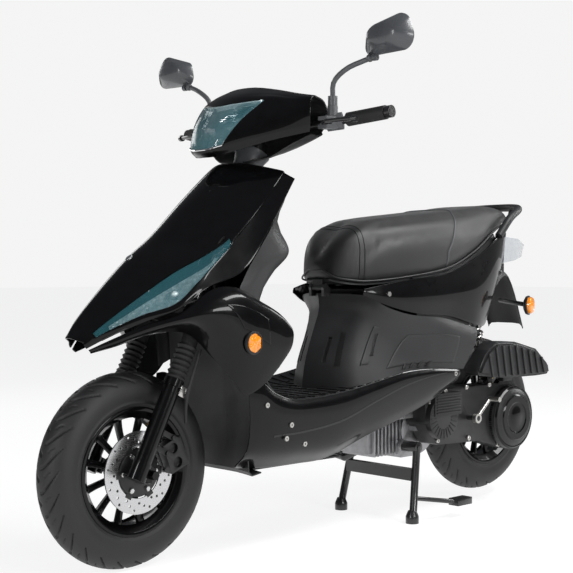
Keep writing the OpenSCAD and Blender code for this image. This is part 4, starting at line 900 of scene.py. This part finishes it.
# Tread of the footboard
floor = fine_net(full_net(FLOOR_NET), 64, 48)
treads = []
for k in range(13):
    row = 0.36 + 0.047 * k
    for low, high in ((0.03, 0.20), (0.22, 0.39), (0.42, 0.58), (0.61, 0.78), (0.80, 0.97)):
        treads.append(patch(floor, [(row, low), (row + 0.012, high), (row + 0.030, high),
                                    (row + 0.018, low)], 1, 6, 6.4, 4))
new_piece("footboard_treads", *joined(*treads), "dark_plastic", "chassis", bevel=0.5)
studs = []
for a in range(20):
    for b in range(16):
        i, j = 0.37 + 0.03 * a, 0.05 + 0.06 * b
        p = sample(floor, i * (floor.shape[0] - 1), j * (floor.shape[1] - 1))
        studs.append(turned([(0.1, 0), (2.4, 0), (1.8, 1.6), (0.1, 1.8)], 6, place=tuple(p + (0, 0, 4)),
                            closed=False))
new_piece("footboard_studs", *joined(*studs), "dark_plastic", "chassis")

# Groove along the skirt, trim of the nose wings and badge disc left blank
skirt = fine_net(SKIRT_NET, 88, 40)
new_piece("skirt_grooves", *pair(patch(skirt, [(0.22, 0.60), (0.22, 0.62), (0.93, 0.30), (0.93, 0.27)], 40,
                                       2, 0.6, 3)), "dark_plastic", "chassis")
wing = fine_net(FAIRING_NET, 72, 40)
scoop = [(0.52, 0.34), (0.74, 0.40), (0.76, 0.62), (0.60, 0.60)]
new_piece("wing_scoops", *pair(patch(wing, scoop, 20, 14, 1.4, 3)), "gloss", "chassis", bevel=1.2)
badge = cover[int(0.42 * cover.shape[0]), STEP_V * K]
badge_n = normals(cover)[int(0.42 * cover.shape[0]), STEP_V * K]
badge_turn = Vector((0, 0, 1)).rotation_difference(Vector(-badge_n)).to_matrix()
new_piece("blank_badge", *placed(turned([(0.1, 0), (9, 0), (9, 1.2), (8, 2), (6.5, 1.6), (0.1, 1.9)], 40,
                                        closed=False), badge_turn, tuple(badge - 3 * badge_n)), "chrome",
          "chassis")

# Six-sector side reflectors in dark rims
reflect_turn = Matrix.Rotation(math.radians(4), 3, "Z") @ ALONG_Y
place = Vector((428, 205, 493))
reflector_rim = turned([(20.5, 2), (26, 2), (26, 6.5), (24, 9), (21, 9), (20.5, 7)], 64)
points = [(0, 0, 10.6)]
for k in range(12):
    a = 2 * math.pi * k / 12
    points.append((21 * math.cos(a), 21 * math.sin(a), 8.6 if k % 2 else 6.6))
faces = [(0, 1 + k, 1 + (k + 1) % 12) for k in range(12)]
points.append((0, 0, 3))
faces += [(13, 1 + (k + 1) % 12, 1 + k) for k in range(12)]
new_piece("side_reflector_rims", *pair(placed(reflector_rim, reflect_turn, place)), "dark_plastic",
          "chassis", "side_reflectors")
new_piece("side_reflector_lenses", *pair(placed((points, faces), reflect_turn, place)), "amber", "chassis",
          angle=5)

# Rear signals: dark stalks and bodies with amber lenses
SIGNAL_PLACE = (-640, 156, 550)
stalk = tube([(-690, 34, 560), (-640, 150, 553)], 6.5, 12)
cup_turn = Matrix.Rotation(math.radians(20), 3, "Z") @ ALONG_Y
cup = placed(turned([(0.1, -1), (16, -1), (25, 4), (27, 9), (27, 12), (24, 12), (0.1, 12)], 64,
                    closed=False), cup_turn, SIGNAL_PLACE)
glow = placed(turned([(0.1, 12), (23, 12), (23, 19), (20, 22.5), (14, 23.4), (13, 22.6), (8, 23.6),
                      (7, 22.9), (0.1, 24)], 64, closed=False), cup_turn, SIGNAL_PLACE)
new_piece("rear_signal_stalks", *pair(joined(stalk, cup)), "dark_plastic", "chassis", "rear_signals",
          bevel=0.5)
new_piece("rear_signal_lenses", *pair(glow), "amber", "chassis")

# Neck of the headset
neck = turned([(20, 742), (33, 742), (34.5, 748), (33, 752), (34, 770), (38, 786), (44, 800), (20, 800)], 64)
new_piece("neck_cover", *on_steering(neck), "grey_plastic", "steering", bevel=0.5)

# Air box: ribs and lid line
box_ribs = []
for k in range(9):
    x = -478 - 30 * k
    top = np.interp(-x, [478, 520, 600, 700, 756], [422, 444, 440, 416, 376])
    box_ribs.append(prism([(x - 16, 358), (x - 9, 358), (x + 7, top), (x, top)], -162.5, -157))
turn = Matrix.Rotation(math.radians(90), 3, "X")
new_piece("air_box_ribs", *placed(joined(*box_ribs), turn), "panel", "engine", bevel=0.8)
lid = [(-438, 380), (-470, 424), (-520, 446), (-600, 442), (-698, 417), (-748, 379), (-752, 360),
       (-700, 358), (-560, 360)]
lid_line = curve(lid + lid[:1], 90)[:-1]
new_piece("air_box_seam", *tube([(x, 152.5, z) for x, z in lid_line], 1.6, 6, closed=True), "dark_plastic",
          "engine")

# Transmission cover: stepped dome, ring of bolts and louvres on the intake
dome = turned([(0.1, 30), (20, 30), (24, 28.6), (40, 28.6), (44, 30.4), (60, 30.4), (64, 28), (70, 22),
               (78, 21), (82, 22), (86, 18), (88, 8), (88, 0), (0.1, 0)], 120, matrix=ALONG_Y, closed=False)
new_piece("transmission_dome", *placed(dome, None, (-608, 124, 239)), "gloss", "engine", angle=24)
case_bolts = []
for x, z in [(-270, 304), (-330, 330), (-420, 334), (-520, 334), (-676, 300), (-664, 172), (-560, 166),
             (-430, 196),
             (-300, 202), (-262, 250)]:
    case_bolts.append(placed(turned([(0.1, 0), (6.5, 0), (6.5, 5), (5.4, 6), (3, 6), (3, 4), (0.1, 4)], 12,
                                    closed=False, matrix=ALONG_Y), None, (x, 121.5, z)))
new_piece("case_bolts", *joined(*case_bolts), "steel", "engine")
louvres = [block((-374, 140, 274 + 7.2 * k), (-276, 143.5, 277.4 + 7.2 * k)) for k in range(7)]
new_piece("intake_louvres", *joined(*louvres), "dark_plastic", "engine", bevel=0.6)
fin_ring = [placed(block((30, -1.6, -1.2), (54, 1.6, 1.2)), Matrix.Rotation(math.radians(15 * k), 3, "Y"),
                   (-310, 137.5, 262)) for k in range(24)]
new_piece("fan_grille", *joined(*fin_ring), "dark_plastic", "engine")

# Dark liners behind the gaps above and below the tail panels
tail_low = curve([row[0] for row in TAIL_NET], 40)
tail_top = curve([row[-1] for row in TAIL_NET], 40)
stations = np.array(SEAT_STATIONS[::-1], float)
liners = []
for line, below, above in ((tail_low, 26, 30), (tail_top, 24, None)):
    inner, outer = [], []
    for x, y, z in line:
        if x > -190 or x < (-560 if above is None else -430):
            continue
        if above is None:
            high = float(np.interp(x, stations[:, 0], stations[:, 1])) - 8
            wide = float(np.interp(x, stations[:, 0], stations[:, 3])) - 24
            high, wide = max(high, z), min(wide, y - 8)
        else:
            high, wide = z + above, y - 7
        inner.append([(x, y - 7, z - below), (x, (y - 7 + wide) / 2, (z + high) / 2), (x, wide, high)])
        outer.append([(x, y - 9, z - below), (x, (y - 9 + wide - 2) / 2, (z + high) / 2),
                      (x, wide - 2, high)])
    liners.append(solid_between(np.array(inner, float), np.array(outer, float)))
new_piece("tail_liners", *pair(joined(*liners)), "dark_plastic", "chassis")

# Front brake hose, from under the arch to its bracket on the left fork leg
hose_line = curve([(500, 116, 478), (528, 122, 420), (540, 119, 380), (532, 104, 345), (526, 97, 318)], 48)
hose = new_piece("front_brake_hose", *tube(hose_line, 4, 16), "rubber", "fork", "brake_hose")
new_piece("brake_hose_bracket", *on_steering(block((18, 109, 170), (34, 114, 192))), "steel", "fork",
          bevel=0.5)

# Moulded spine over the down tube, on the rider's side of the leg shield
spine = curve([(362, 0, 672), (324, 0, 604), (306, 0, 560), (299, 0, 470), (298, 0, 330)], 40)
new_piece("shield_spine", *tube(spine, np.interp(range(len(spine)), [0, 16, 40], [10, 32, 40]), 32),
          "panel", "chassis")


# ---- Finishes of the CAD nodes that stay ----
NODES_OF = {
    "frame": "main_frame fuel_tank steering_stem handlebar left_lever right_lever muffler centre_stand "
             "shock_body",
    "amber": "side_reflectors rear_signals",
    "panel": "floorboard arch_panel seat_body grab_rail rear_mudguard headset_rear air_filter seat_pan "
             "leg_shield",
    "clear_lens": "tail_lamp",
    "dark_plastic": "storage_bucket brake_caliper cvt_case",
    "steel": "body_screws kick_lever shock_rod shock_spring",
    "chrome": "ignition_lock headlight_bowl turn_reflectors",
    "rubber": "left_grip throttle_grip fork_gaiters brake_hose",
    "grey_plastic": "lever_perches left_mirror_arm right_mirror_arm horn_button turn_switch",
    "satin_grey": "left_mirror_head right_mirror_head",
    "mirror": "left_mirror_glass right_mirror_glass",
    "red_plastic": "start_button",
    "gloss": "fork_sliders front_rim rear_rim front_cover side_fairings side_skirts tail_sides "
             "headset_front",
    "tyre": "front_tyre rear_tyre",
    "disc": "brake_disc",
    "alloy": "crankcase",
    "vinyl": "seat_cushion",
    "blue_lens": "turn_lenses headlight_lens",
}
FINISH = {node: key for key, nodes in NODES_OF.items() for node in nodes.split()}
CRISP = {"crankcase": 1.2, "cvt_case": 2.5, "air_filter": 2.5, "brake_caliper": 1.2, "lever_perches": 1.0,
         "floorboard": 0.8, "muffler": 0.8, "centre_stand": 0.6}
for name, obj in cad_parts.items():
    weld = obj.modifiers.new("weld", "WELD")
    weld.merge_threshold = 0.00002
    shade(obj, 75 if "mirror_head" in name else 30, CRISP.get(name, 0))
    for slot in obj.material_slots:
        slot.material = M[FINISH[name]]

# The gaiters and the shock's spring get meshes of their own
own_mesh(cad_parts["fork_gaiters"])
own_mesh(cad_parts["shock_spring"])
